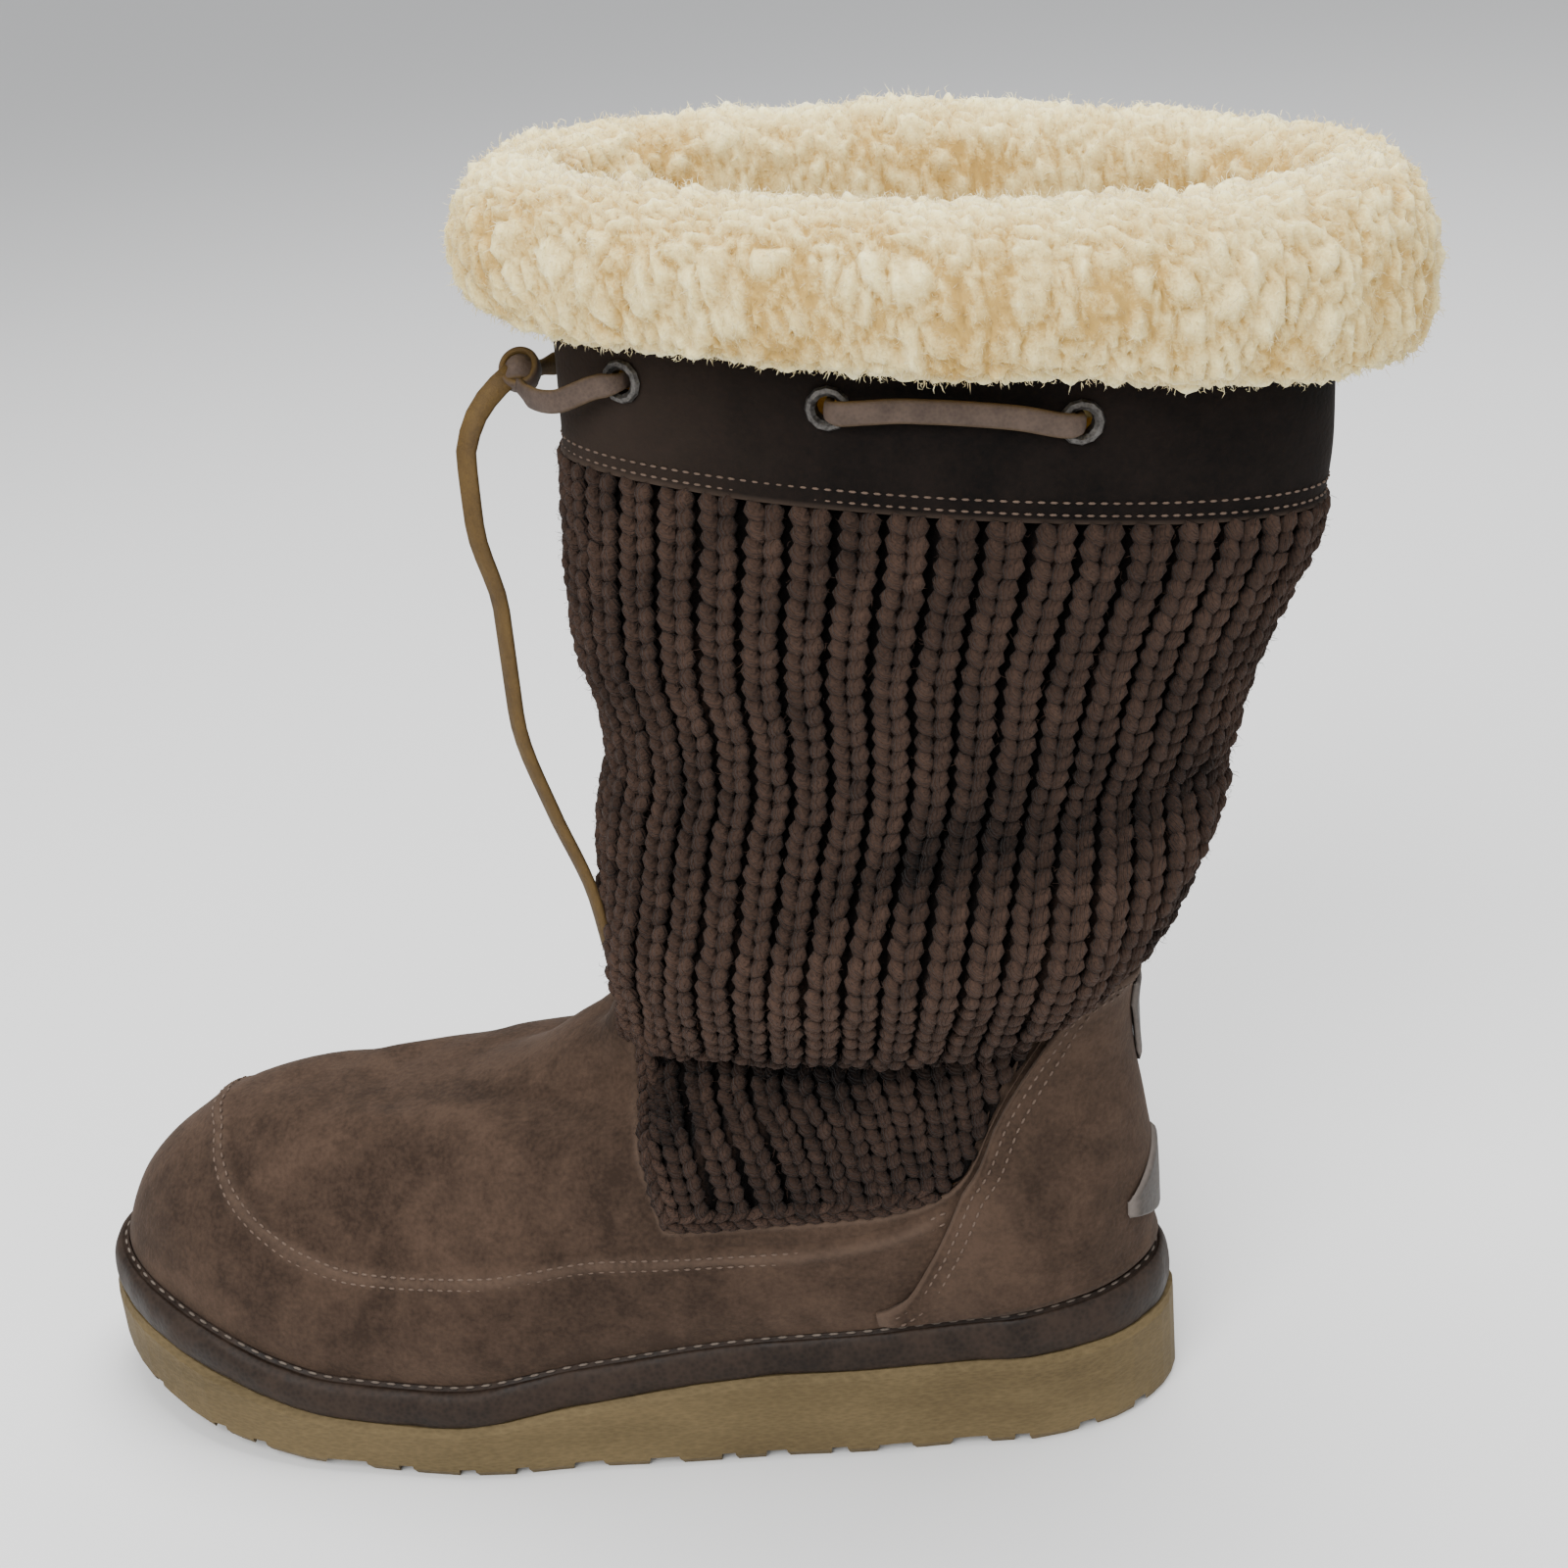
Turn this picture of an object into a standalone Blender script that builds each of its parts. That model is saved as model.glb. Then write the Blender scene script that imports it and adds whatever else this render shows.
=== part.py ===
"""Pull-on boot, left foot: suede foot on a foam sole, slouched rib-knit shaft, laced collar, fleece cuff.

Frame: +Z up, the toe points to -X, the outer side of the foot is -Y. The origin is on the floor under the heel.
Lengths are in metres. Tables hold shares of the named sizes.
"""

import math

import bmesh
import bpy
import numpy as np
from mathutils import Matrix, Vector

# sole
soleLength = 0.2715
heelOverhang = 0.0310
ballWidth = 0.0945
heelWidth = 0.0650
heelThickness = 0.0235
ballThickness = 0.0135
toeSpring = 0.0110
toeTopRise = 0.0270
edgeChamfer = 0.0016
grooveDepth = 0.0030
grooveWidth = 0.0042

# welt, upper and insole
weltHeight = 0.0095
weltInset = 0.0010
featherInset = 0.0058
gap = 0.0003
upperWall = 0.0025
insoleThickness = 0.0040
instepHeight = 0.1180
footWidth = 0.0860
apronStep = 0.0008

# shaft, collar band and cuff
seamHeight = 0.2300
seamSlope = 0.1330
shaftWidth = 0.0710
shaftWall = 0.0030
ribCount = 40
ribDepth = 0.0022
slouch = 0.0040
bandWall = 0.0022
bandRise = 0.0520
cuffThickness = 0.0210
cuffLowEdge = 0.2620
cuffLowSlope = 0.1400
cuffCrest = 0.3000
cuffCrestSlope = 0.0850
cuffTilt = 0.1000
lockDepth = 0.0026
lockCount = 32

# overlays and hardware
overlayWall = 0.0013
badgeHeight = 0.0240
badgeWidth = 0.0320
stayHeight = 0.0260
stayWidth = 0.0150
eyeletOuter = 0.0094
eyeletHole = 0.0052
eyeletFlange = 0.0010
laceWidth = 0.0050
laceThickness = 0.0018

for oldObject in list(bpy.data.objects):
    bpy.data.objects.remove(oldObject, do_unlink=True)

boot = bpy.data.collections.new("sweater_boot")
bpy.context.scene.collection.children.link(boot)
cutters = bpy.data.collections.new("cutters")
bpy.context.scene.collection.children.link(cutters)


def smooth(value, low, high):
    "eased step from 0 at low to 1 at high"
    share = np.clip((value - low) / (high - low), 0.0, 1.0)
    return share * share * (3.0 - 2.0 * share)


def curve(knots, values, where):
    "cubic through a table, with slopes that never overshoot"
    knots = np.asarray(knots, float)
    values = np.asarray(values, float)
    step = np.diff(knots)
    rise = np.diff(values) / step
    slope = np.zeros(len(knots))
    slope[0] = rise[0]
    slope[-1] = rise[-1]
    for index in range(1, len(knots) - 1):
        left, right = rise[index - 1], rise[index]
        if left * right > 0.0:
            slope[index] = 2.0 * left * right / (left + right)
    where = np.clip(np.asarray(where, float), knots[0], knots[-1])
    cell = np.clip(np.searchsorted(knots, where) - 1, 0, len(step) - 1)
    share = (where - knots[cell]) / step[cell]
    square, cube = share ** 2, share ** 3
    return (
        (2 * cube - 3 * square + 1) * values[cell]
        + (cube - 2 * square + share) * step[cell] * slope[cell]
        + (3 * square - 2 * cube) * values[cell + 1]
        + (cube - square) * step[cell] * slope[cell + 1]
    )


# sole outline: half width as a share of the local width, and sideways bend as a share of the ball width
outlineHalf = [0.0, 0.415, 0.785, 0.985, 0.977, 0.906, 0.903, 0.987, 0.985, 0.857, 0.606, 0.300, 0.0]
outlineBend = [0.0, 0.0, 0.0, -0.005, -0.021, -0.028, -0.016, 0.006, 0.034, 0.046, 0.060, 0.069, 0.072]
turnShares = [index / 12 for index in range(13)]


def along(turn):
    "share of the length from the back, for a share of the half turn round the outline"
    return 0.5 * (1.0 - np.cos(np.pi * np.asarray(turn, float)))


def halfWidth(turn):
    local = 0.5 * (heelWidth + (ballWidth - heelWidth) * smooth(turn, 0.25, 0.58))
    return curve(turnShares, outlineHalf, turn) * local


def bend(turn):
    return curve(turnShares, outlineBend, turn) * ballWidth


def soleX(turn, inset=0.0):
    return heelOverhang - inset - (soleLength - 2.0 * inset) * along(turn)


# heights along the sole, by share of its length from the heel
heightStations = [0.0, 0.26, 0.38, 0.52, 0.65, 0.73, 0.80, 0.87, 0.94, 1.0]
soleTopShare = [1.0, 1.0, 0.95, 0.45, 0.0, 0.0, 0.0, 0.0, 0.0, 0.0]
toeRiseShare = [0.0, 0.0, 0.0, 0.0, 0.0, 0.06, 0.32, 0.66, 0.90, 1.0]
springShare = [0.0, 0.0, 0.0, 0.0, 0.0, 0.05, 0.20, 0.38, 0.68, 1.0]
weltExtra = [0.32, 0.0, -0.05, 0.0, 0.0, 0.0, 0.0, 0.12, 0.18, 0.20]


def soleShare(x):
    return np.clip((heelOverhang - np.asarray(x, float)) / soleLength, 0.0, 1.0)


def soleBottom(x):
    return toeSpring * curve(heightStations, springShare, soleShare(x))


def soleTop(x):
    share = soleShare(x)
    heel = curve(heightStations, soleTopShare, share) * (heelThickness - ballThickness)
    return ballThickness + heel + curve(heightStations, toeRiseShare, share) * (toeTopRise - ballThickness)


def weltTop(x):
    return soleTop(x) + weltHeight * (1.0 + curve(heightStations, weltExtra, soleShare(x)))


# rings of the foot and shaft: front and back points, half widths, and how far the ring is an ellipse
# lengths are shares: x of the sole length, z of the instep height, widths of the foot width
footRings = [
    # frontX, frontZ, backX, backZ, outer, inner, round, slim toward the toe
    (-0.8637, 0.305, 0.0958, 0.288, 0.477, 0.477, 0.00, 0.000),
    (-0.8560, 0.364, 0.0905, 0.356, 0.500, 0.500, 0.04, 0.020),
    (-0.8380, 0.449, 0.0905, 0.441, 0.506, 0.506, 0.10, 0.070),
    (-0.8110, 0.525, 0.0900, 0.525, 0.500, 0.500, 0.20, 0.160),
    (-0.7770, 0.593, 0.0865, 0.602, 0.484, 0.484, 0.32, 0.260),
    (-0.7330, 0.660, 0.0830, 0.678, 0.462, 0.462, 0.45, 0.325),
    (-0.6740, 0.688, 0.0795, 0.746, 0.438, 0.440, 0.58, 0.380),
    (-0.6000, 0.698, 0.0785, 0.805, 0.418, 0.420, 0.69, 0.420),
    (-0.5260, 0.709, 0.0785, 0.856, 0.400, 0.403, 0.79, 0.400),
    (-0.4600, 0.750, 0.0800, 0.898, 0.390, 0.392, 0.87, 0.320),
    (-0.4090, 0.820, 0.0825, 0.932, 0.386, 0.388, 0.93, 0.210),
    (-0.3730, 0.890, 0.0890, 0.962, 0.386, 0.388, 0.97, 0.100),
    (-0.3540, 0.960, 0.1000, 0.993, 0.390, 0.392, 1.00, 0.030),
]
# x of the sole length, z between the instep (0) and the collar seam (1), widths of the shaft width
shaftRings = [
    # frontX, frontZ, backX, backZ, half, bulge
    (-0.3470, 0.030, 0.1087, 0.030, 0.490, 0.20),
    (-0.3480, 0.126, 0.1290, 0.126, 0.520, 1.00),
    (-0.3500, 0.230, 0.1510, 0.262, 0.520, 0.90),
    (-0.3440, 0.335, 0.1665, 0.388, 0.505, 0.35),
    (-0.3320, 0.440, 0.1742, 0.505, 0.495, 0.05),
    (-0.3350, 0.530, 0.1860, 0.612, 0.497, 0.00),
    (-0.3480, 0.660, 0.2074, 0.748, 0.505, 0.00),
    (-0.3480, 0.775, 0.2247, 0.845, 0.505, 0.00),
    (-0.3440, 0.890, 0.2394, 0.932, 0.498, 0.00),
    (-0.3414, 1.000, 0.2457, 1.000, 0.486, 0.00),
]
# the same for the band, with z above the collar seam as a share of the band's rise
bandRings = [
    (-0.3400, 0.288, 0.2523, 0.248, 0.482),
    (-0.3370, 0.958, 0.2580, 1.050, 0.482),
]
footCount = len(footRings)
seamLevel = footCount + len(shaftRings) - 1.0
lastLevel = seamLevel + len(bandRings)


def ringTable():
    rows = []
    for frontX, frontZ, backX, backZ, outer, inner, roundness, slim in footRings:
        rows.append((frontX * soleLength, frontZ * instepHeight, backX * soleLength, backZ * instepHeight,
                     outer * footWidth, inner * footWidth, roundness, 0.0, slim))
    for frontX, frontZ, backX, backZ, half, bulge in shaftRings:
        front, back = frontX * soleLength, backX * soleLength
        frontTop = seamHeight - seamSlope * front
        backTop = seamHeight - seamSlope * back
        rows.append((front, instepHeight + frontZ * (frontTop - instepHeight), back,
                     instepHeight + backZ * (backTop - instepHeight),
                     half * shaftWidth, half * shaftWidth, 1.0, bulge, 0.0))
    for frontX, frontZ, backX, backZ, half in bandRings:
        front, back = frontX * soleLength, backX * soleLength
        rows.append((front, seamHeight - seamSlope * front + frontZ * bandRise, back,
                     seamHeight - seamSlope * back + backZ * bandRise,
                     half * shaftWidth, half * shaftWidth, 1.0, 0.0, 0.0))
    return np.array(rows)


rings = ringTable()
levels = np.arange(len(rings), dtype=float)


def ringValue(column, level):
    return curve(levels, rings[:, column], level)


def surface(turn, side, level):
    "point on the outer face; side is -1 on the outer side of the foot and +1 on the inner side"
    turn, side, level = np.broadcast_arrays(np.asarray(turn, float), np.asarray(side, float),
                                            np.asarray(level, float))
    share = along(turn)
    front, back = ringValue(0, level), ringValue(2, level)
    x = back + (front - back) * share
    linear = ringValue(3, level) + (ringValue(1, level) - ringValue(3, level)) * share
    footX = rings[0, 2] + (rings[0, 0] - rings[0, 2]) * share
    drop = weltTop(footX) - (rings[0, 3] + (rings[0, 1] - rings[0, 3]) * share)
    settle = 1.0 - smooth(level, -0.6, 6.5)
    z = linear + drop * settle
    half = np.where(side < 0, ringValue(4, level), ringValue(5, level))
    roundness = ringValue(6, level)
    soleForm = halfWidth(turn) / (0.5 * ballWidth)
    ellipse = np.sin(np.pi * turn) ** 0.92
    form = soleForm * (1.0 - roundness) + ellipse * roundness
    form = form * (1.0 - ringValue(8, level) * smooth(share, 0.45, 0.85))
    sway = bend(turn) * (1.0 - smooth(level, 2.0, 12.0))
    bulge = ringValue(7, level) * slouch * np.sin(np.pi * turn) ** 0.7
    y = sway + side * (half * form + bulge)
    return np.stack([x, y, z], axis=-1)


def normal(turn, side, level):
    "outward unit normal of the outer face, from differences of the surface"
    step = 0.004
    turn = np.clip(np.asarray(turn, float), 0.0, 1.0)
    low = np.clip(turn - step, 0.0, 1.0)
    high = np.clip(turn + step, 0.0, 1.0)
    around = surface(high, side, level) - surface(low, side, level)
    endBack = (turn < step)[..., None]
    endFront = (turn > 1.0 - step)[..., None]
    across = np.zeros_like(around)
    across[..., 1] = np.broadcast_to(np.asarray(side, float), turn.shape)
    around = np.where(endBack, across, np.where(endFront, -across, around))
    level = np.asarray(level, float)
    up = surface(turn, side, np.clip(level + 0.2, 0, lastLevel)) - surface(turn, side, np.clip(level - 0.2, 0, lastLevel))
    product = np.cross(around, up) * np.broadcast_to(np.asarray(side, float), turn.shape)[..., None]
    return product / np.linalg.norm(product, axis=-1, keepdims=True)


# lower edge of the knit: level on the foot, by share of the half turn from the back
knitTurn = [0.0, 0.10, 0.16, 0.205, 0.226, 0.238, 0.248, 0.258, 0.270, 0.284, 0.302, 0.335, 0.39, 0.43, 0.468,
            0.485, 0.50, 0.555, 0.633, 0.713, 0.785, 0.848, 0.897, 1.0]
knitLevel = [11.2, 11.8, 12.1, 12.1, 11.2, 9.0, 6.8, 5.1, 4.3, 3.92, 3.7, 3.55, 3.55, 3.55, 3.65,
             4.42, 5.14, 6.82, 8.3, 9.6, 10.7, 11.62, 12.5, 12.95]


def knitEdge(turn):
    return curve(knitTurn, knitLevel, turn)


# apron seam over the toe, by share of the half turn from the back
apronTurn = [0.0, 0.275, 0.302, 0.333, 0.39, 0.445, 0.51, 0.578, 0.66, 0.708, 0.75, 0.80, 0.848, 0.91, 1.0]
apronLevel = [3.6, 3.6, 3.33, 3.02, 2.84, 2.93, 3.10, 2.88, 2.69, 2.78, 3.02, 3.46, 4.03, 4.66, 4.94]


def apronEdge(turn):
    return curve(apronTurn, apronLevel, turn)


def columnTurns():
    "columns round the boot: even spacing round the shaft, and more where the knit edge climbs at the heel"
    fine = np.linspace(0.0, 1.0, 801)
    points = surface(fine, -1.0, footCount + 5.0)
    length = np.concatenate([[0.0], np.cumsum(np.linalg.norm(np.diff(points, axis=0), axis=1))])
    shares = np.linspace(0.0, 1.0, ribCount + 1)
    turns = list(np.interp(shares, length / length[-1], fine))
    for extra in (0.232, 0.250, 0.272):
        nearest = min(range(len(turns)), key=lambda index: abs(turns[index] - extra))
        if abs(turns[nearest] - extra) > 0.006:
            turns.append(extra)
        else:
            turns[nearest] = extra
    turns = sorted(turns)
    phase = np.interp(turns, fine, length / length[-1])
    return np.array(turns), np.array(phase)


sideTurns, sidePhase = columnTurns()
# the full loop: back, outer side to the toe, then the inner side back again
loopTurns = np.concatenate([sideTurns, sideTurns[-2:0:-1]])
loopSides = np.concatenate([-np.ones(len(sideTurns)), np.ones(len(sideTurns) - 2)])
loopPhase = np.concatenate([sidePhase, 2.0 - sidePhase[-2:0:-1]])
loopCount = len(loopTurns)


def material(name, colour, roughness, metallic=0.0):
    made = bpy.data.materials.new(name)
    made.use_nodes = True
    principled = made.node_tree.nodes["Principled BSDF"]
    principled.inputs["Base Color"].default_value = (*colour, 1.0)
    principled.inputs["Roughness"].default_value = roughness
    principled.inputs["Metallic"].default_value = metallic
    return made


suede = material("suede", (0.102, 0.056, 0.038), 0.95)
bandSuede = material("band_suede", (0.035, 0.017, 0.012), 0.92)
knit = material("knit", (0.062, 0.036, 0.028), 0.95)
foam = material("foam", (0.392, 0.271, 0.098), 0.80)
piping = material("piping", (0.114, 0.078, 0.058), 0.60)
fleece = material("fleece", (0.800, 0.680, 0.460), 1.00)
lining = material("lining", (0.620, 0.480, 0.330), 1.00)
greyLeather = material("grey_leather", (0.150, 0.128, 0.115), 0.55)
metal = material("antique_metal", (0.200, 0.190, 0.185), 0.38, 1.0)
leather = material("lace_leather", (0.195, 0.130, 0.095), 0.60)


def finish(name, mesh, look, flat=False):
    made = bpy.data.objects.new(name, mesh)
    boot.objects.link(made)
    mesh.materials.clear()
    mesh.materials.append(look)
    work = bmesh.new()
    work.from_mesh(mesh)
    bmesh.ops.recalc_face_normals(work, faces=work.faces)
    work.to_mesh(mesh)
    work.free()
    if not flat:
        mesh.shade_smooth()
        mesh.set_sharp_from_angle(angle=math.radians(38))
    return made


def gridSolid(name, loops, look, closed=True):
    "closed solid from rings of equal count that follow each other round a section and back to the first"
    count = len(loops[0])
    work = bmesh.new()
    verts = [[work.verts.new(tuple(point)) for point in loop] for loop in loops]
    rows = len(verts)
    for row in range(rows):
        first, second = verts[row], verts[(row + 1) % rows]
        for column in range(count if closed else count - 1):
            following = (column + 1) % count
            work.faces.new((first[column], first[following], second[following], second[column]))
    if not closed:
        work.faces.new([verts[row][0] for row in range(rows)])
        work.faces.new([verts[row][-1] for row in reversed(range(rows))])
    mesh = bpy.data.meshes.new(name)
    work.to_mesh(mesh)
    work.free()
    return finish(name, mesh, look)


def shellLoops(turns, sides, lowLevel, highLevel, outerRows, innerRows, offset, wall, shape=None):
    "rings up the outer face and down the inner face of a wall between two level curves"
    loops = []
    for share in np.linspace(0.0, 1.0, outerRows + 1):
        level = lowLevel + (highLevel - lowLevel) * share
        push = offset if shape is None else offset + shape(turns, sides, level)
        loops.append(surface(turns, sides, level) + normal(turns, sides, level) * np.reshape(push, (-1, 1)))
    for share in np.linspace(1.0, 0.0, innerRows + 1):
        level = lowLevel + (highLevel - lowLevel) * share
        loops.append(surface(turns, sides, level) + normal(turns, sides, level) * (offset - wall))
    return loops


def lower(loop, floorLine):
    "the ring brought down to a height that depends on x"
    moved = loop.copy()
    moved[:, 2] = floorLine(moved[:, 0])
    return moved


# outsole
stationTurns = np.concatenate([[0.012], np.linspace(0.045, 0.955, 35), [0.988]])
soleRows = []
for turn in stationTurns:
    x, half, shift = soleX(turn), halfWidth(turn), bend(turn)
    low, high = float(soleBottom(x)), float(soleTop(x))
    slim = max(half - edgeChamfer, half * 0.6)
    soleRows.append([
        (x, shift - slim, low), (x, shift - half, low + 1.4 * edgeChamfer),
        (x, shift - half, high - edgeChamfer), (x, shift - slim, high),
        (x, shift + slim, high), (x, shift + half, high - edgeChamfer),
        (x, shift + half, low + 1.4 * edgeChamfer), (x, shift + slim, low),
    ])
outsole = gridSolid("outsole", list(zip(*soleRows)), foam, closed=False)


def grooveCutter(x, width):
    "trapezoid prism right across the sole"
    bpy.ops.mesh.primitive_cube_add(size=1.0)
    tool = bpy.context.active_object
    depth = grooveDepth * 2.0
    base = float(soleBottom(x))
    for vertex in tool.data.vertices:
        wide = 0.85 if vertex.co.z > 0 else 1.30
        vertex.co = Vector((x + vertex.co.x * width * wide, vertex.co.y * ballWidth * 1.6,
                            base + vertex.co.z * depth))
    tool.name = "groove_cutter"
    for home in list(tool.users_collection):
        home.objects.unlink(tool)
    cutters.objects.link(tool)
    tool.hide_render = True
    tool.display_type = "WIRE"
    return tool


def cut(target, tools):
    for tool in tools:
        modifier = target.modifiers.new("cut", "BOOLEAN")
        modifier.operation = "DIFFERENCE"
        modifier.solver = "EXACT"
        modifier.object = tool


# tread grooves: place as a share of the sole length from the heel, width as a multiple of the groove width
grooves = [
    (0.035, 0.7), (0.0814, 1.0), (0.138, 0.9), (0.183, 2.2), (0.2475, 2.1), (0.296, 1.0), (0.351, 1.3), (0.393, 0.9),
    (0.449, 1.9), (0.516, 1.9), (0.575, 0.9), (0.624, 1.1), (0.681, 1.0), (0.737, 2.8), (0.822, 1.0), (0.864, 1.0),
    (0.937, 0.8),
]
grooveTools = [grooveCutter(heelOverhang - share * soleLength, grooveWidth * width) for share, width in grooves]
cut(outsole, grooveTools)


# upper: one hollow wall, open under the foot and at the knit edge
def footShape(turns, sides, level):
    "the lower part round the foot stands out a little below the apron seam"
    under = 1.0 - smooth(level - apronEdge(turns), -0.15, 0.15)
    return under * apronStep * smooth(level, 0.4, 1.0)


def levelMargin(turns, sides, edge, clearance):
    "step in level that moves a boundary by a clearance measured square to it, on both sides of each column"
    points = surface(turns, sides, edge(turns))
    rise = (surface(turns, sides, edge(turns) + 0.1) - surface(turns, sides, edge(turns) - 0.1)) / 0.2
    following = np.diff(points, axis=0, append=points[:1])
    margins = []
    for tangent in (following, np.roll(following, 1, axis=0)):
        length = np.linalg.norm(tangent, axis=1)
        square = np.linalg.norm(np.cross(tangent, rise), axis=1) / np.maximum(length, 1e-9)
        margins.append(clearance / np.where(length > 1e-6, np.maximum(square, 0.0007), 1.0))
    return np.maximum(margins[0], margins[1])


edgeLevels = knitEdge(loopTurns)
edgeMargin = levelMargin(loopTurns, loopSides, knitEdge, gap * 1.5)
start = np.zeros(loopCount)
footLoops = shellLoops(loopTurns, loopSides, start, edgeLevels - edgeMargin, 9, 4, 0.0, upperWall, footShape)
outerFoot = lower(footLoops[0], lambda x: soleTop(x) + gap)
innerFoot = lower(footLoops[-1], lambda x: soleTop(x) + gap)
upper = gridSolid("upper", [outerFoot] + footLoops + [innerFoot], suede)

# welt: rounded piping between the sole and the foot wall
soleRing = np.stack([soleX(loopTurns), bend(loopTurns) + loopSides * halfWidth(loopTurns),
                     np.zeros(loopCount)], axis=-1)
footRing = surface(loopTurns, loopSides, start) + normal(loopTurns, loopSides, start) * (gap * 1.5)
weltLoops = []
for outward, rise in ((0.0, 0.02), (0.86, 0.02), (1.0, 0.26), (1.0, 0.66), (0.74, 0.95), (0.30, 1.0), (0.0, 0.93)):
    flat = footRing + (soleRing - footRing) * outward
    inward = (footRing - soleRing)
    inward[:, 2] = 0.0
    inward = inward / np.maximum(np.linalg.norm(inward, axis=1, keepdims=True), 1e-9)
    flat = flat + inward * weltInset * outward
    low, high = soleTop(flat[:, 0]) + gap, weltTop(flat[:, 0])
    flat[:, 2] = low + (high - low) * rise
    weltLoops.append(flat)
welt = gridSolid("welt", weltLoops, piping)

# insole: a plate inside the foot wall, on the sole
insoleRows = []
inside = featherInset + upperWall + 2.2 * gap + 0.0012
for turn in stationTurns:
    x = soleX(turn, inside)
    half = max(float(halfWidth(turn)) - inside, 0.0009)
    shift = float(bend(turn))
    low = float(soleTop(x)) + gap
    insoleRows.append([
        (x, shift - half, low), (x, shift - half, low + insoleThickness),
        (x, shift + half, low + insoleThickness), (x, shift + half, low),
    ])
insole = gridSolid("insole", list(zip(*insoleRows)), lining, closed=False)


# shaft: ribbed knit with a slouch over the instep
def ribShape(turns, sides, level):
    rib = 0.5 - 0.5 * np.cos(2.0 * np.pi * loopPhase * ribCount / 2.0)
    fold = np.exp(-((level - 9.4) / 1.6) ** 2) * smooth(turns, 0.30, 0.42) * (1.0 - smooth(turns, 0.80, 0.95))
    return -ribDepth * (1.0 - rib) - slouch * 0.35 * fold


seamLevels = np.full(loopCount, seamLevel)
shaftLoops = shellLoops(loopTurns, loopSides, edgeLevels + edgeMargin, seamLevels - 0.02, 9, 3, shaftWall * 0.4,
                        shaftWall + ribDepth * 0.6, ribShape)
shaft = gridSolid("shaft", shaftLoops, knit)


# collar band: a plain wall over the knit, with its holes for the eyelets
bandLoops = shellLoops(loopTurns, loopSides, seamLevels + 0.02, np.full(loopCount, lastLevel), 2, 1, 0.0, bandWall)
band = gridSolid("collar_band", bandLoops, bandSuede)


def levelAt(turns, sides, heights):
    "level of the shaft at which columns reach their heights"
    low = np.full(np.shape(heights), footCount + 1.0)
    high = np.full(np.shape(heights), lastLevel)
    for _ in range(30):
        middle = 0.5 * (low + high)
        under = surface(turns, sides, middle)[..., 2] < heights
        low = np.where(under, middle, low)
        high = np.where(under, high, middle)
    return 0.5 * (low + high)


eyeletRise = 0.0210
eyeletTurns = [0.385, 0.582, 0.785]


def eyeletSpot(turn, side):
    "place, outward normal and upward direction of an eyelet on the band"
    seam = surface(turn, side, seamLevel)
    level = float(levelAt(turn, side, seam[2] + eyeletRise))
    place = Vector(surface(turn, side, level))
    outward = Vector(normal(np.array(turn), np.array(side), np.array(level)))
    upward = Vector(surface(turn, side, level + 0.1)) - place
    upward = (upward - outward * upward.dot(outward)).normalized()
    return place, outward, upward


def turned(name, profile, segments, look, matrix):
    "closed profile turned once round its own Z with a Screw modifier, then applied"
    mesh = bpy.data.meshes.new(name)
    edges = [(index, (index + 1) % len(profile)) for index in range(len(profile))]
    mesh.from_pydata([(radius, 0.0, height) for radius, height in profile], edges, [])
    made = bpy.data.objects.new(name, mesh)
    boot.objects.link(made)
    made.matrix_world = matrix
    screw = made.modifiers.new("turn", "SCREW")
    screw.steps = segments
    screw.render_steps = segments
    screw.use_merge_vertices = True
    screw.merge_threshold = 0.00001
    mesh.materials.append(look)
    return made


def frameMatrix(place, outward, upward):
    sideways = upward.cross(outward)
    turn = Matrix((sideways, upward, outward)).transposed().to_4x4()
    return Matrix.Translation(place) @ turn


flangeLift = gap + 0.0003
holeTools = []
eyeletSpots = {}
for sideName, side in (("outer", -1.0), ("inner", 1.0)):
    for number, turn in enumerate(eyeletTurns, 1):
        place, outward, upward = eyeletSpot(turn, side)
        eyeletSpots[sideName, number] = (place, outward, upward)
        matrix = frameMatrix(place, outward, upward)
        inner, rim = 0.5 * eyeletHole, 0.5 * eyeletOuter
        barrel = inner + 0.0006
        profile = [
            (rim, flangeLift), (rim - 0.0004, flangeLift + eyeletFlange * 0.8), (inner + 0.0008, flangeLift + eyeletFlange),
            (inner, flangeLift + eyeletFlange * 0.3), (inner, -bandWall), (barrel, -bandWall), (barrel, flangeLift),
        ]
        turned("eyelet_%s_%d" % (sideName, number), profile[::-1], 12, metal, matrix)
        bpy.ops.mesh.primitive_cylinder_add(vertices=16, radius=barrel + gap * 1.3, depth=6.0 * bandWall)
        tool = bpy.context.active_object
        tool.name = "eyelet_cutter"
        tool.matrix_world = matrix
        for home in list(tool.users_collection):
            home.objects.unlink(tool)
        cutters.objects.link(tool)
        tool.hide_render = True
        tool.display_type = "WIRE"
        holeTools.append(tool)
cut(band, holeTools)


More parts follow.
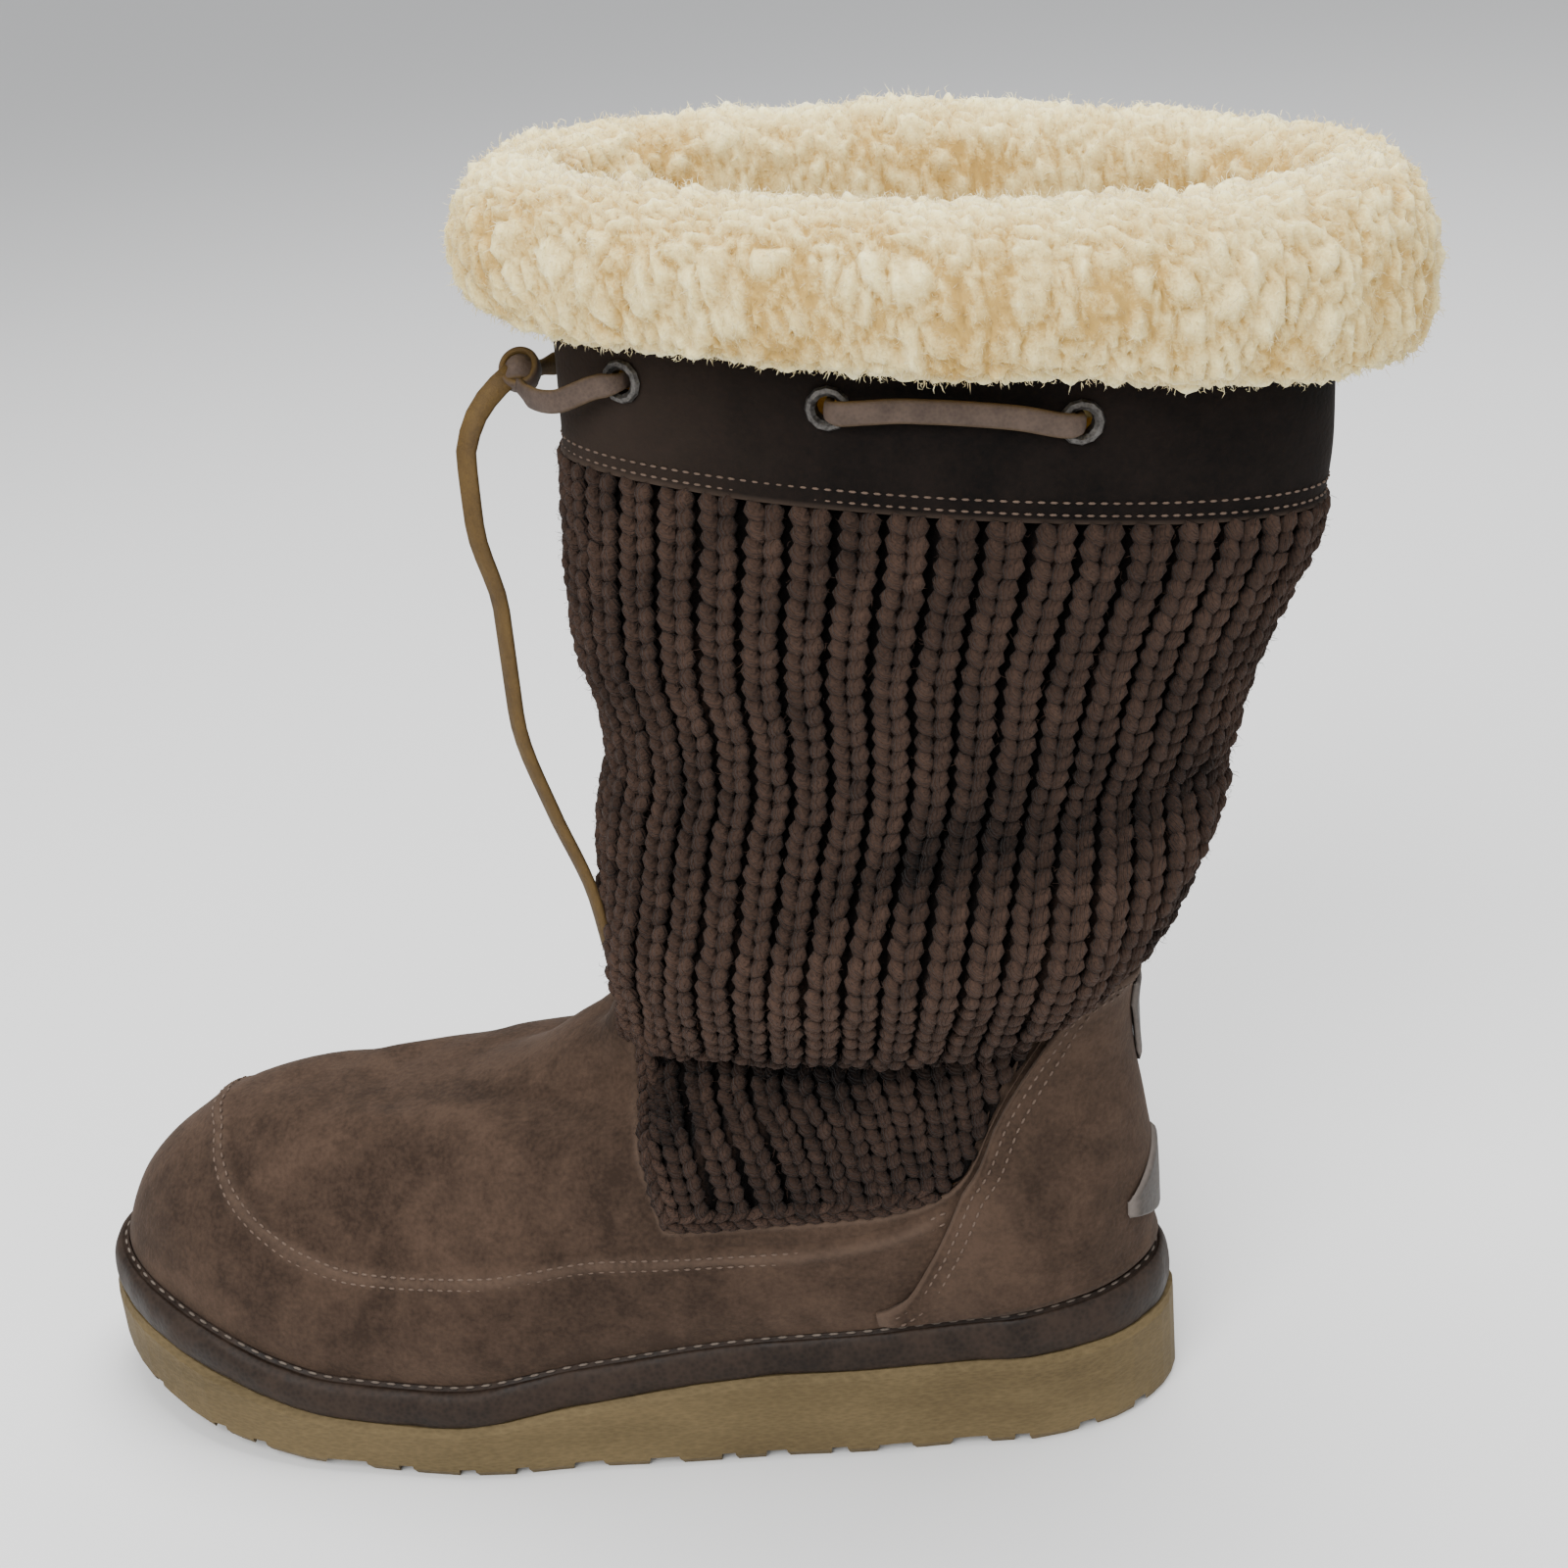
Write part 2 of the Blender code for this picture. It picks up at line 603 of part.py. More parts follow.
def strap(name, points, outs, width, thickness, look, narrow=1.0, ends=2):
    "flat strap along points; outs are the directions its face looks to"
    rows = []
    count = len(points)
    for index, point in enumerate(points):
        ahead = points[min(index + 1, count - 1)]
        behind = points[max(index - 1, 0)]
        tangent = (ahead - behind).normalized()
        across = tangent.cross(outs[index]).normalized()
        face = across.cross(tangent).normalized()
        near = min(index, count - 1 - index)
        wide = width * (narrow if near < ends else 1.0) * 0.5
        thick = thickness * 0.5
        rows.append([
            point - across * wide - face * thick, point + across * wide - face * thick,
            point + across * wide * 1.0 + face * thick * 0.4, point + across * wide * 0.8 + face * thick,
            point - across * wide * 0.8 + face * thick, point - across * wide * 1.0 + face * thick * 0.4,
        ])
    return gridSolid(name, list(zip(*rows)), look, closed=False)


def through(place, outward, toward):
    "points of a strap that comes out of an eyelet and turns toward a direction"
    flat = (toward - outward * toward.dot(outward)).normalized()
    thick = laceThickness
    return [
        place - outward * 1.8 * thick, place - outward * 0.22 * thick, place + outward * 0.89 * thick + flat * 0.11 * thick,
        place + outward * 1.67 * thick + flat * 0.67 * thick, place + outward * 2.0 * thick + flat * 1.9 * thick,
    ]


# lace bars on the outside of the band, between the second and third eyelets
for sideName, side in (("outer", -1.0), ("inner", 1.0)):
    firstPlace, firstOut, firstUp = eyeletSpots[sideName, 1]
    lastPlace, lastOut, lastUp = eyeletSpots[sideName, 2]
    span = lastPlace - firstPlace
    points = through(firstPlace, firstOut, span)
    outs = [-span.normalized()] * 3 + [firstOut - span.normalized(), firstOut]
    for share in (0.25, 0.42, 0.58, 0.75):
        turn = eyeletTurns[0] + (eyeletTurns[1] - eyeletTurns[0]) * share
        place, outward, upward = eyeletSpot(turn, side)
        bow = math.sin(math.pi * share)
        points.append(place + outward * 1.8 * laceThickness + upward * (0.9 * laceThickness * bow))
        outs.append(outward)
    tail = through(lastPlace, lastOut, -span)
    points += tail[::-1]
    outs += [lastOut, lastOut + span.normalized()] + [span.normalized()] * 3
    strap("lace_bar_" + sideName, points, outs, laceWidth, laceThickness, leather, 0.72, 3)

# front ties: from the front eyelets to the knot before the collar
knotSize = Vector((0.0100, 0.0120, 0.0125))
seamFront = Vector(surface(1.0, -1.0, seamLevel))
knotPlace = seamFront + Vector((-knotSize.x * 0.78, 0.0, knotSize.z * 1.336))
for sideName, side in (("outer", -1.0), ("inner", 1.0)):
    place, outward, upward = eyeletSpots[sideName, 3]
    reach = Vector((knotPlace.x + 0.0010, side * (knotSize.y * 0.5 + gap * 2.0), knotPlace.z - 0.0015))
    span = reach - place
    points = through(place, outward, span)
    outs = [-span.normalized()] * 3 + [outward - span.normalized(), outward]
    away = Vector((-0.55, side * 0.83, 0.0)).normalized()
    for share in (0.45, 0.72, 1.0):
        bow = math.sin(math.pi * share)
        points.append(place.lerp(reach, share) + away * laceThickness * (1.9 * (1.0 - share) + 2.8 * bow)
                      - Vector((0.0, 0.0, 1.2 * laceThickness * bow)))
        outs.append(away)
    strap("lace_tie_" + sideName, points, outs, laceWidth * 1.05, laceThickness, leather, 0.72, 3)

# knot: a squashed ball with a waist
bpy.ops.mesh.primitive_uv_sphere_add(segments=14, ring_count=9, radius=0.5)
knot = bpy.context.active_object
knot.name = "lace_knot"
for vertex in knot.data.vertices:
    around = math.atan2(vertex.co.y, vertex.co.x)
    lump = 1.0 + 0.10 * math.cos(2.0 * around + 3.0 * vertex.co.z)
    vertex.co = Vector((vertex.co.x * knotSize.x * lump, vertex.co.y * knotSize.y, vertex.co.z * knotSize.z))
knot.location = knotPlace
knot.data.materials.append(leather)
knot.data.shade_smooth()
for home in list(knot.users_collection):
    home.objects.unlink(knot)
boot.objects.link(knot)

# the lace's hanging end, as steps from the knot
endSteps = [
    (-0.0063, -0.0040, -0.0035), (-0.0103, -0.0070, -0.0090), (-0.0123, -0.0090, -0.0160), (-0.0123, -0.0100, -0.0309),
    (-0.0090, -0.0100, -0.0507), (-0.0090, -0.0100, -0.0750), (-0.0035, -0.0100, -0.1000), (0.0037, -0.0130, -0.1190),
    (0.0065, -0.0160, -0.1325),
]
endRoute = [tuple(knotPlace + Vector(step)) for step in endSteps]


def smoothRoute(route, spacing):
    "evenly spaced points on a smooth curve through the route"
    knots = np.concatenate([[0.0], np.cumsum([math.dist(a, b) for a, b in zip(route, route[1:])])])
    count = max(int(knots[-1] / spacing), 4)
    where = np.linspace(0.0, knots[-1], count + 1)
    return np.stack([curve(knots, [point[axis] for point in route], where) for axis in range(3)], axis=1)


endCurve = bpy.data.curves.new("lace_end", "CURVE")
endCurve.dimensions = "3D"
endCurve.bevel_depth = laceWidth * 0.42
endCurve.bevel_resolution = 2
endCurve.use_fill_caps = True
spline = endCurve.splines.new("POLY")
endPoints = smoothRoute(endRoute, 0.0085)
spline.points.add(len(endPoints) - 1)
for target, point in zip(spline.points, endPoints):
    target.co = (*point, 1.0)
spline.use_smooth = True
laceEnd = bpy.data.objects.new("lace_end", endCurve)
boot.objects.link(laceEnd)
endCurve.materials.append(leather)

# fleece cuff: turned down over the band, with locks standing out of it
cuffSection = [
    # out as a share of the thickness, up as a share of the drop, lock share
    (0.12, 0.02, 0.1), (0.34, -0.05, 0.9), (0.62, 0.00, 1.0), (0.84, 0.16, 1.0), (0.96, 0.40, 0.9), (0.93, 0.64, 0.8),
    (0.74, 0.86, 0.7), (0.42, 0.98, 0.6), (0.06, 1.00, 0.5), (-0.28, 0.93, 0.5), (-0.52, 0.72, 0.5), (-0.60, 0.30, 0.4),
    (-0.54, -0.22, 0.4), (-0.21, -0.30, 0.0), (-0.165, -0.24, 0.0), (-0.165, 0.66, 0.0), (0.060, 0.66, 0.0),
]
cuffColumns = 60
cuffTurn = np.interp(np.linspace(0.0, 1.0, cuffColumns // 2 + 1), np.linspace(0.0, 1.0, len(sideTurns)),
                     np.interp(np.linspace(0.0, 1.0, len(sideTurns)), sidePhase, sideTurns))
cuffTurns = np.concatenate([cuffTurn, cuffTurn[-2:0:-1]])
cuffSides = np.concatenate([-np.ones(len(cuffTurn)), np.ones(len(cuffTurn) - 2)])
cuffPhase = np.arange(cuffColumns) / cuffColumns
middleX = surface(cuffTurns, cuffSides, seamLevel + 1.0)[:, 0]
lowZ = cuffLowEdge - cuffLowSlope * middleX
crestZ = cuffCrest - cuffCrestSlope * middleX + cuffTilt * surface(cuffTurns, cuffSides, seamLevel + 1.0)[:, 1]
cuffLoops = []
for row, (out, up, lock) in enumerate(cuffSection):
    wave = np.sin(2.0 * np.pi * lockCount * cuffPhase + 0.9 * row) * 0.6
    wave = wave + np.sin(2.0 * np.pi * 11.0 * cuffPhase - 1.3 * row) * 0.4
    height = lowZ + up * (crestZ - lowZ)
    level = levelAt(cuffTurns, cuffSides, height)
    outward = normal(cuffTurns, cuffSides, level)
    outward[:, 2] = 0.0
    outward = outward / np.linalg.norm(outward, axis=1, keepdims=True)
    ring = surface(cuffTurns, cuffSides, level) + outward * (out * cuffThickness + lock * lockDepth * wave)[:, None]
    ring[:, 2] = height + lock * lockDepth * 0.5 * wave
    cuffLoops.append(ring)
cuff = gridSolid("cuff", cuffLoops[::-1], fleece)


# overlays on the upper, cut from its own surface
def patch(name, turnList, lowLevel, highLevel, rows, offset, wall, look, sides=None):
    "thin piece over the upper between two level curves, open round its edges"
    turns = np.array([abs(turn) for turn in turnList])
    sides = np.array([1.0 if turn > 0 else -1.0 for turn in turnList]) if sides is None else sides
    low, high = lowLevel(turns), highLevel(turns)
    loops = []
    for share in np.linspace(0.0, 1.0, rows + 1):
        level = low + (high - low) * share
        loops.append(surface(turns, sides, level) + normal(turns, sides, level) * (offset + wall))
    for share in np.linspace(1.0, 0.0, rows + 1):
        level = low + (high - low) * share
        loops.append(surface(turns, sides, level) + normal(turns, sides, level) * offset)
    return gridSolid(name, loops, look, closed=False)


overlayLift = apronStep + gap * 1.4


def counterLow(turns):
    return np.full(len(turns), 0.62)


def counterHigh(turns):
    "the counter's front seam climbs from the welt to the knit, its top follows the knit edge"
    seam = curve([0.0, 0.256, 0.266, 0.275, 0.292, 0.312, 0.330, 1.0], [9.9, 5.6, 4.5, 3.74, 2.2, 1.1, 0.8, 0.8], turns)
    knitSide = knitEdge(turns) - levelMargin(turns, -np.ones(len(turns)), knitEdge, 0.0016)
    return np.minimum(knitSide, np.where(turns > 0.256, seam, 99.0))


counterTurns = [turn for turn in sideTurns if 0.0 < turn < 0.33] + [0.33]
counterTurns = sorted(set(round(float(turn), 6) for turn in counterTurns))
counter = patch("heel_counter", [-turn for turn in counterTurns[::-1]] + [0.0] + counterTurns,
                counterLow, counterHigh, 5, overlayLift, overlayWall, suede)

backLift = overlayLift + overlayWall + gap * 2.4
heelReach = float(halfWidth(0.10)) / 0.10


def backPatch(name, width, lowHeight, highHeight, lowPoint, highPoint, columns, rows, look):
    "small piece on the back of the heel; its lower and upper edges draw in toward the sides"
    halfTurn = 0.5 * width / heelReach
    turnList = [halfTurn * (2.0 * index / columns - 1.0) for index in range(columns + 1)]
    lowLevel = float(np.interp(lowHeight, rings[:, 3], levels))
    highLevel = float(np.interp(highHeight, rings[:, 3], levels))
    reach = highLevel - lowLevel

    def low(turns):
        return lowLevel + reach * lowPoint * turns / halfTurn

    def high(turns):
        return highLevel - reach * highPoint * turns / halfTurn

    return patch(name, turnList, low, high, rows, backLift, overlayWall, look)


badge = backPatch("heel_badge", badgeWidth, 0.0425, 0.0425 + badgeHeight, 0.36, 0.46, 8, 4, greyLeather)
stay = backPatch("back_stay", stayWidth, instepHeight * 0.935 - stayHeight, instepHeight * 0.935, 0.62, 0.04, 4, 4, greyLeather)
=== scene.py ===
# Looks of the left sweater boot: fleece cuff, knit shaft, suede foot, lace, eyelets, welt and foam sole.
# Lengths are in metres; +Z is up, the toe points to -X, the outer side of the foot is -Y.
import math

import bpy
import numpy as np
from mathutils import Matrix, Vector, noise


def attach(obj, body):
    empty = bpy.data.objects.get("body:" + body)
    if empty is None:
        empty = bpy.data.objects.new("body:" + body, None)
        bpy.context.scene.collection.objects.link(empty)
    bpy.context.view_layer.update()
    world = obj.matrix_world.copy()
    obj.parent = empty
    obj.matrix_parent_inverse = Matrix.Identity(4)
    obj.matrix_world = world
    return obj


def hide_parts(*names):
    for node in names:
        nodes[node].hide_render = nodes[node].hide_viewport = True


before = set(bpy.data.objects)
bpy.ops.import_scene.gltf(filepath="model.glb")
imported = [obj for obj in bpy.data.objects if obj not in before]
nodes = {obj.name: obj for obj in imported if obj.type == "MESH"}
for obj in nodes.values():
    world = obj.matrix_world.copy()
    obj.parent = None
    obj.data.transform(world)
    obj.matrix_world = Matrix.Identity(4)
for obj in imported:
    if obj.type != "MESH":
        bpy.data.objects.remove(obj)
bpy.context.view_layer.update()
print("frame loaded")

# the photo's view of the boot, worked out from its edges
camera = {
    "turn": ((0.98563, 0.04870, 0.16174), (0.13196, 0.37573, -0.91729), (-0.10544, 0.92545, 0.36390)),
    "place": (0.007413, -0.470546, 0.374035),
    "lens": 52.43,
    "shift": (0.0728, -0.0699),
}
cameraData = bpy.data.cameras.new("photoCamera")
cameraData.lens = camera["lens"]
cameraData.sensor_width = 36.0
cameraData.shift_x, cameraData.shift_y = camera["shift"]
cameraData.clip_start = 0.01
photoCamera = bpy.data.objects.new("photoCamera", cameraData)
bpy.context.scene.collection.objects.link(photoCamera)
photoCamera.matrix_world = Matrix.Translation(camera["place"]) @ Matrix(camera["turn"]).to_4x4()
bpy.context.scene.camera = photoCamera

# the boot's own form, as its source gives it
form = {
    "soleLength": 0.2715, "heelOverhang": 0.0310, "ballWidth": 0.0945, "heelWidth": 0.0650,
    "heelThickness": 0.0235, "ballThickness": 0.0135, "toeTopRise": 0.0270, "weltHeight": 0.0095,
    "gap": 0.0003, "instepHeight": 0.1180, "footWidth": 0.0860, "seamHeight": 0.2300,
    "seamSlope": 0.1330, "shaftWidth": 0.0710, "slouch": 0.0040, "ribCount": 40,
    "cuffThickness": 0.0210, "cuffLowEdge": 0.2620, "cuffLowSlope": 0.1400, "cuffCrest": 0.3000,
    "cuffCrestSlope": 0.0850, "cuffTilt": 0.1000,
}
outlineHalf = [0.0, 0.415, 0.785, 0.985, 0.977, 0.906, 0.903, 0.987, 0.985, 0.857, 0.606, 0.300, 0.0]
outlineBend = [0.0, 0.0, 0.0, -0.005, -0.021, -0.028, -0.016, 0.006, 0.034, 0.046, 0.060, 0.069, 0.072]
turnShares = [index / 12 for index in range(13)]
heightStations = [0.0, 0.26, 0.38, 0.52, 0.65, 0.73, 0.80, 0.87, 0.94, 1.0]
soleTopShare = [1.0, 1.0, 0.95, 0.45, 0.0, 0.0, 0.0, 0.0, 0.0, 0.0]
toeRiseShare = [0.0, 0.0, 0.0, 0.0, 0.0, 0.06, 0.32, 0.66, 0.90, 1.0]
weltExtra = [0.32, 0.0, -0.05, 0.0, 0.0, 0.0, 0.0, 0.12, 0.18, 0.20]
footRings = [
    (-0.8637, 0.305, 0.0958, 0.288, 0.477, 0.477, 0.00, 0.000),
    (-0.8560, 0.364, 0.0905, 0.356, 0.500, 0.500, 0.04, 0.020),
    (-0.8380, 0.449, 0.0905, 0.441, 0.506, 0.506, 0.10, 0.070),
    (-0.8110, 0.525, 0.0900, 0.525, 0.500, 0.500, 0.20, 0.160),
    (-0.7770, 0.593, 0.0865, 0.602, 0.484, 0.484, 0.32, 0.260),
    (-0.7330, 0.660, 0.0830, 0.678, 0.462, 0.462, 0.45, 0.325),
    (-0.6740, 0.688, 0.0795, 0.746, 0.438, 0.440, 0.58, 0.380),
    (-0.6000, 0.698, 0.0785, 0.805, 0.418, 0.420, 0.69, 0.420),
    (-0.5260, 0.709, 0.0785, 0.856, 0.400, 0.403, 0.79, 0.400),
    (-0.4600, 0.750, 0.0800, 0.898, 0.390, 0.392, 0.87, 0.320),
    (-0.4090, 0.820, 0.0825, 0.932, 0.386, 0.388, 0.93, 0.210),
    (-0.3730, 0.890, 0.0890, 0.962, 0.386, 0.388, 0.97, 0.100),
    (-0.3540, 0.960, 0.1000, 0.993, 0.390, 0.392, 1.00, 0.030),
]
shaftRings = [
    (-0.3470, 0.030, 0.1087, 0.030, 0.490, 0.20),
    (-0.3480, 0.126, 0.1290, 0.126, 0.520, 1.00),
    (-0.3500, 0.230, 0.1510, 0.262, 0.520, 0.90),
    (-0.3440, 0.335, 0.1665, 0.388, 0.505, 0.35),
    (-0.3320, 0.440, 0.1742, 0.505, 0.495, 0.05),
    (-0.3350, 0.530, 0.1860, 0.612, 0.497, 0.00),
    (-0.3480, 0.660, 0.2074, 0.748, 0.505, 0.00),
    (-0.3480, 0.775, 0.2247, 0.845, 0.505, 0.00),
    (-0.3440, 0.890, 0.2394, 0.932, 0.498, 0.00),
    (-0.3414, 1.000, 0.2457, 1.000, 0.486, 0.00),
    (-0.3400, 1.120, 0.2523, 1.125, 0.482, 0.00),
    (-0.3370, 1.400, 0.2580, 1.530, 0.482, 0.00),
]
knitTurn = [0.0, 0.10, 0.16, 0.205, 0.226, 0.238, 0.248, 0.258, 0.270, 0.284, 0.302, 0.335, 0.39, 0.43,
            0.468, 0.485, 0.50, 0.555, 0.633, 0.713, 0.785, 0.848, 0.897, 1.0]
knitLevel = [11.2, 11.8, 12.1, 12.1, 11.2, 9.0, 6.8, 5.1, 4.3, 3.92, 3.7, 3.55, 3.55, 3.55, 3.65,
             4.42, 5.14, 6.82, 8.3, 9.6, 10.7, 11.62, 12.5, 12.95]
apronTurn = [0.0, 0.275, 0.302, 0.333, 0.39, 0.445, 0.51, 0.578, 0.66, 0.708, 0.75, 0.80, 0.848, 0.91, 1.0]
apronLevel = [3.6, 3.6, 3.33, 3.02, 2.84, 2.93, 3.10, 2.88, 2.69, 2.78, 3.02, 3.46, 4.03, 4.66, 4.94]
footCount = len(footRings)
seamLevel = footCount + 9.0
lastLevel = footCount + len(shaftRings) - 1.0


def eased(value, low, high):
    share = np.clip((value - low) / (high - low), 0.0, 1.0)
    return share * share * (3.0 - 2.0 * share)


def curve(knots, values, where):
    # a cubic through a table that never overshoots
    knots, values = np.asarray(knots, float), np.asarray(values, float)
    step = np.diff(knots)
    rise = np.diff(values) / step
    slope = np.zeros(len(knots))
    slope[0], slope[-1] = rise[0], rise[-1]
    for index in range(1, len(knots) - 1):
        left, right = rise[index - 1], rise[index]
        if left * right > 0.0:
            slope[index] = 2.0 * left * right / (left + right)
    where = np.clip(np.asarray(where, float), knots[0], knots[-1])
    cell = np.clip(np.searchsorted(knots, where) - 1, 0, len(step) - 1)
    share = (where - knots[cell]) / step[cell]
    square, cube = share ** 2, share ** 3
    return ((2 * cube - 3 * square + 1) * values[cell]
            + (cube - 2 * square + share) * step[cell] * slope[cell]
            + (3 * square - 2 * cube) * values[cell + 1] + (cube - square) * step[cell] * slope[cell + 1])


def along(turn):
    return 0.5 * (1.0 - np.cos(np.pi * np.asarray(turn, float)))


def halfWidth(turn):
    local = 0.5 * (form["heelWidth"] + (form["ballWidth"] - form["heelWidth"]) * eased(turn, 0.25, 0.58))
    return curve(turnShares, outlineHalf, turn) * local


def bend(turn):
    return curve(turnShares, outlineBend, turn) * form["ballWidth"]


def soleShare(x):
    return np.clip((form["heelOverhang"] - np.asarray(x, float)) / form["soleLength"], 0.0, 1.0)


def soleTop(x):
    share = soleShare(x)
    heel = curve(heightStations, soleTopShare, share) * (form["heelThickness"] - form["ballThickness"])
    toe = curve(heightStations, toeRiseShare, share) * (form["toeTopRise"] - form["ballThickness"])
    return form["ballThickness"] + heel + toe


def weltTop(x):
    return soleTop(x) + form["weltHeight"] * (1.0 + curve(heightStations, weltExtra, soleShare(x)))


def ringTable():
    rows = []
    for frontX, frontZ, backX, backZ, outer, inner, roundness, slim in footRings:
        rows.append((frontX * form["soleLength"], frontZ * form["instepHeight"], backX * form["soleLength"],
                     backZ * form["instepHeight"], outer * form["footWidth"], inner * form["footWidth"],
                     roundness, 0.0, slim))
    for frontX, frontZ, backX, backZ, half, bulge in shaftRings:
        front, back = frontX * form["soleLength"], backX * form["soleLength"]
        frontTop = form["seamHeight"] - form["seamSlope"] * front
        backTop = form["seamHeight"] - form["seamSlope"] * back
        low = form["instepHeight"]
        rows.append((front, low + frontZ * (frontTop - low), back, low + backZ * (backTop - low),
                     half * form["shaftWidth"], half * form["shaftWidth"], 1.0, bulge, 0.0))
    return np.array(rows)


rings = ringTable()
levels = np.arange(len(rings), dtype=float)


def ringValue(column, level):
    return curve(levels, rings[:, column], level)


def surface(turn, side, level):
    # a point of the outer face; turn runs from the back (0) to the front (1), side is -1 on the outer side
    turn, side, level = np.broadcast_arrays(np.asarray(turn, float), np.asarray(side, float),
                                            np.asarray(level, float))
    share = along(turn)
    front, back = ringValue(0, level), ringValue(2, level)
    x = back + (front - back) * share
    linear = ringValue(3, level) + (ringValue(1, level) - ringValue(3, level)) * share
    footX = rings[0, 2] + (rings[0, 0] - rings[0, 2]) * share
    drop = weltTop(footX) - (rings[0, 3] + (rings[0, 1] - rings[0, 3]) * share)
    z = linear + drop * (1.0 - eased(level, -0.6, 6.5))
    half = np.where(side < 0, ringValue(4, level), ringValue(5, level))
    roundness = ringValue(6, level)
    ring = halfWidth(turn) / (0.5 * form["ballWidth"]) * (1.0 - roundness)
    ring = ring + np.sin(np.pi * turn) ** 0.92 * roundness
    ring = ring * (1.0 - ringValue(8, level) * eased(share, 0.45, 0.85))
    sway = bend(turn) * (1.0 - eased(level, 2.0, 12.0))
    bulge = ringValue(7, level) * form["slouch"] * np.sin(np.pi * turn) ** 0.7
    return np.stack([x, sway + side * (half * ring + bulge), z], axis=-1)


def normal(turn, side, level, shaped=surface):
    # outward direction, from differences of the form
    step = 0.004
    turn = np.clip(np.asarray(turn, float), 0.0, 1.0)
    low, high = np.clip(turn - step, 0.0, 1.0), np.clip(turn + step, 0.0, 1.0)
    around = shaped(high, side, level) - shaped(low, side, level)
    endBack, endFront = (turn < step)[..., None], (turn > 1.0 - step)[..., None]
    across = np.zeros_like(around)
    across[..., 1] = np.broadcast_to(np.asarray(side, float), turn.shape)
    around = np.where(endBack, across, np.where(endFront, -across, around))
    level = np.asarray(level, float)
    above, below = np.clip(level + 0.1, 0, lastLevel), np.clip(level - 0.1, 0, lastLevel)
    up = shaped(turn, side, above) - shaped(turn, side, below)
    product = np.cross(around, up) * np.broadcast_to(np.asarray(side, float), turn.shape)[..., None]
    return product / np.maximum(np.linalg.norm(product, axis=-1, keepdims=True), 1e-12)


def metresPerLevel(turns, sides, level):
    rise = surface(turns, sides, level + 0.1) - surface(turns, sides, level - 0.1)
    return np.linalg.norm(rise, axis=-1) / 0.2


def levelAt(turns, sides, heights):
    # the level of the shaft at which columns reach their heights
    low, high = np.full(np.shape(heights), footCount + 1.0), np.full(np.shape(heights), lastLevel)
    for _ in range(26):
        middle = 0.5 * (low + high)
        under = surface(turns, sides, middle)[..., 2] < heights
        low, high = np.where(under, middle, low), np.where(under, high, middle)
    return 0.5 * (low + high)


def knitEdge(turn):
    return curve(knitTurn, knitLevel, turn)


def apronEdge(turn):
    return curve(apronTurn, apronLevel, turn)


def lengthAlong(points):
    return np.concatenate([[0.0], np.cumsum(np.linalg.norm(np.diff(points, axis=0), axis=1))])


fineTurns = np.linspace(0.0, 1.0, 801)
fineLength = lengthAlong(surface(fineTurns, -1.0, footCount + 5.0))
finePhase = fineLength / fineLength[-1]


def wrapped(phase):
    # phase 0 to 2 round the boot becomes a turn and a side
    phase = np.mod(np.asarray(phase, float), 2.0)
    side = np.where(phase <= 1.0, -1.0, 1.0)
    turn = np.interp(np.where(phase <= 1.0, phase, 2.0 - phase), finePhase, fineTurns)
    return turn, side


# tools for building pieces
def deselect():
    if bpy.context.object and bpy.context.object.mode != "OBJECT":
        bpy.ops.object.mode_set(mode="OBJECT")
    bpy.ops.object.select_all(action="DESELECT")


def place(piece, look, *replaced, cadSlot=None):
    # gives a finished piece its material and its body, and hides the solids that it stands for
    piece.data.materials.clear()
    piece.data.materials.append(look)
    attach(piece, "root")
    if replaced:
        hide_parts(*replaced)
    return piece


def edited(piece, operator, **options):
    # runs one mesh operator on the whole of a piece
    deselect()
    piece.select_set(True)
    bpy.context.view_layer.objects.active = piece
    bpy.ops.object.mode_set(mode="EDIT")
    bpy.ops.mesh.select_all(action="SELECT")
    operator(**options)
    bpy.ops.object.mode_set(mode="OBJECT")


def merged(piece):
    edited(piece, bpy.ops.mesh.remove_doubles, threshold=0.00001)


def faceOut(piece):
    edited(piece, bpy.ops.mesh.normals_make_consistent, inside=False)


# values for a grid's points that its lay function leaves for the materials: wear, which also carries painted
# light, and tone, which also carries painted shade
painted = {}


def laidGrid(name, columns, rows, lay, closed=False):
    # a flat grid laid on the boot: lay(u, v) gives each point's place
    deselect()
    bpy.ops.mesh.primitive_grid_add(x_subdivisions=columns, y_subdivisions=rows, size=2.0)
    piece = bpy.context.active_object
    piece.name = name
    flat = np.empty(len(piece.data.vertices) * 3)
    piece.data.vertices.foreach_get("co", flat)
    flat = flat.reshape(-1, 3)
    u = np.clip(0.5 + 0.5 * flat[:, 0], 0.0, 1.0)
    v = np.clip(0.5 + 0.5 * flat[:, 1], 0.0, 1.0)
    painted.clear()
    piece.data.vertices.foreach_set("co", np.ascontiguousarray(lay(u, v), float).ravel())
    piece.data.update()
    if closed:
        merged(piece)
    bpy.ops.object.shade_smooth()
    for key, values in painted.items():
        piece.data.attributes.new(key, "FLOAT", "POINT").data.foreach_set("value", values)
    return piece


def applied(piece, kind, **settings):
    # adds a modifier, sets it and applies it
    deselect()
    piece.select_set(True)
    bpy.context.view_layer.objects.active = piece
    modifier = piece.modifiers.new(kind.lower(), kind)
    for key, value in settings.items():
        setattr(modifier, key, value)
    bpy.ops.object.modifier_apply(modifier=modifier.name)
    return piece


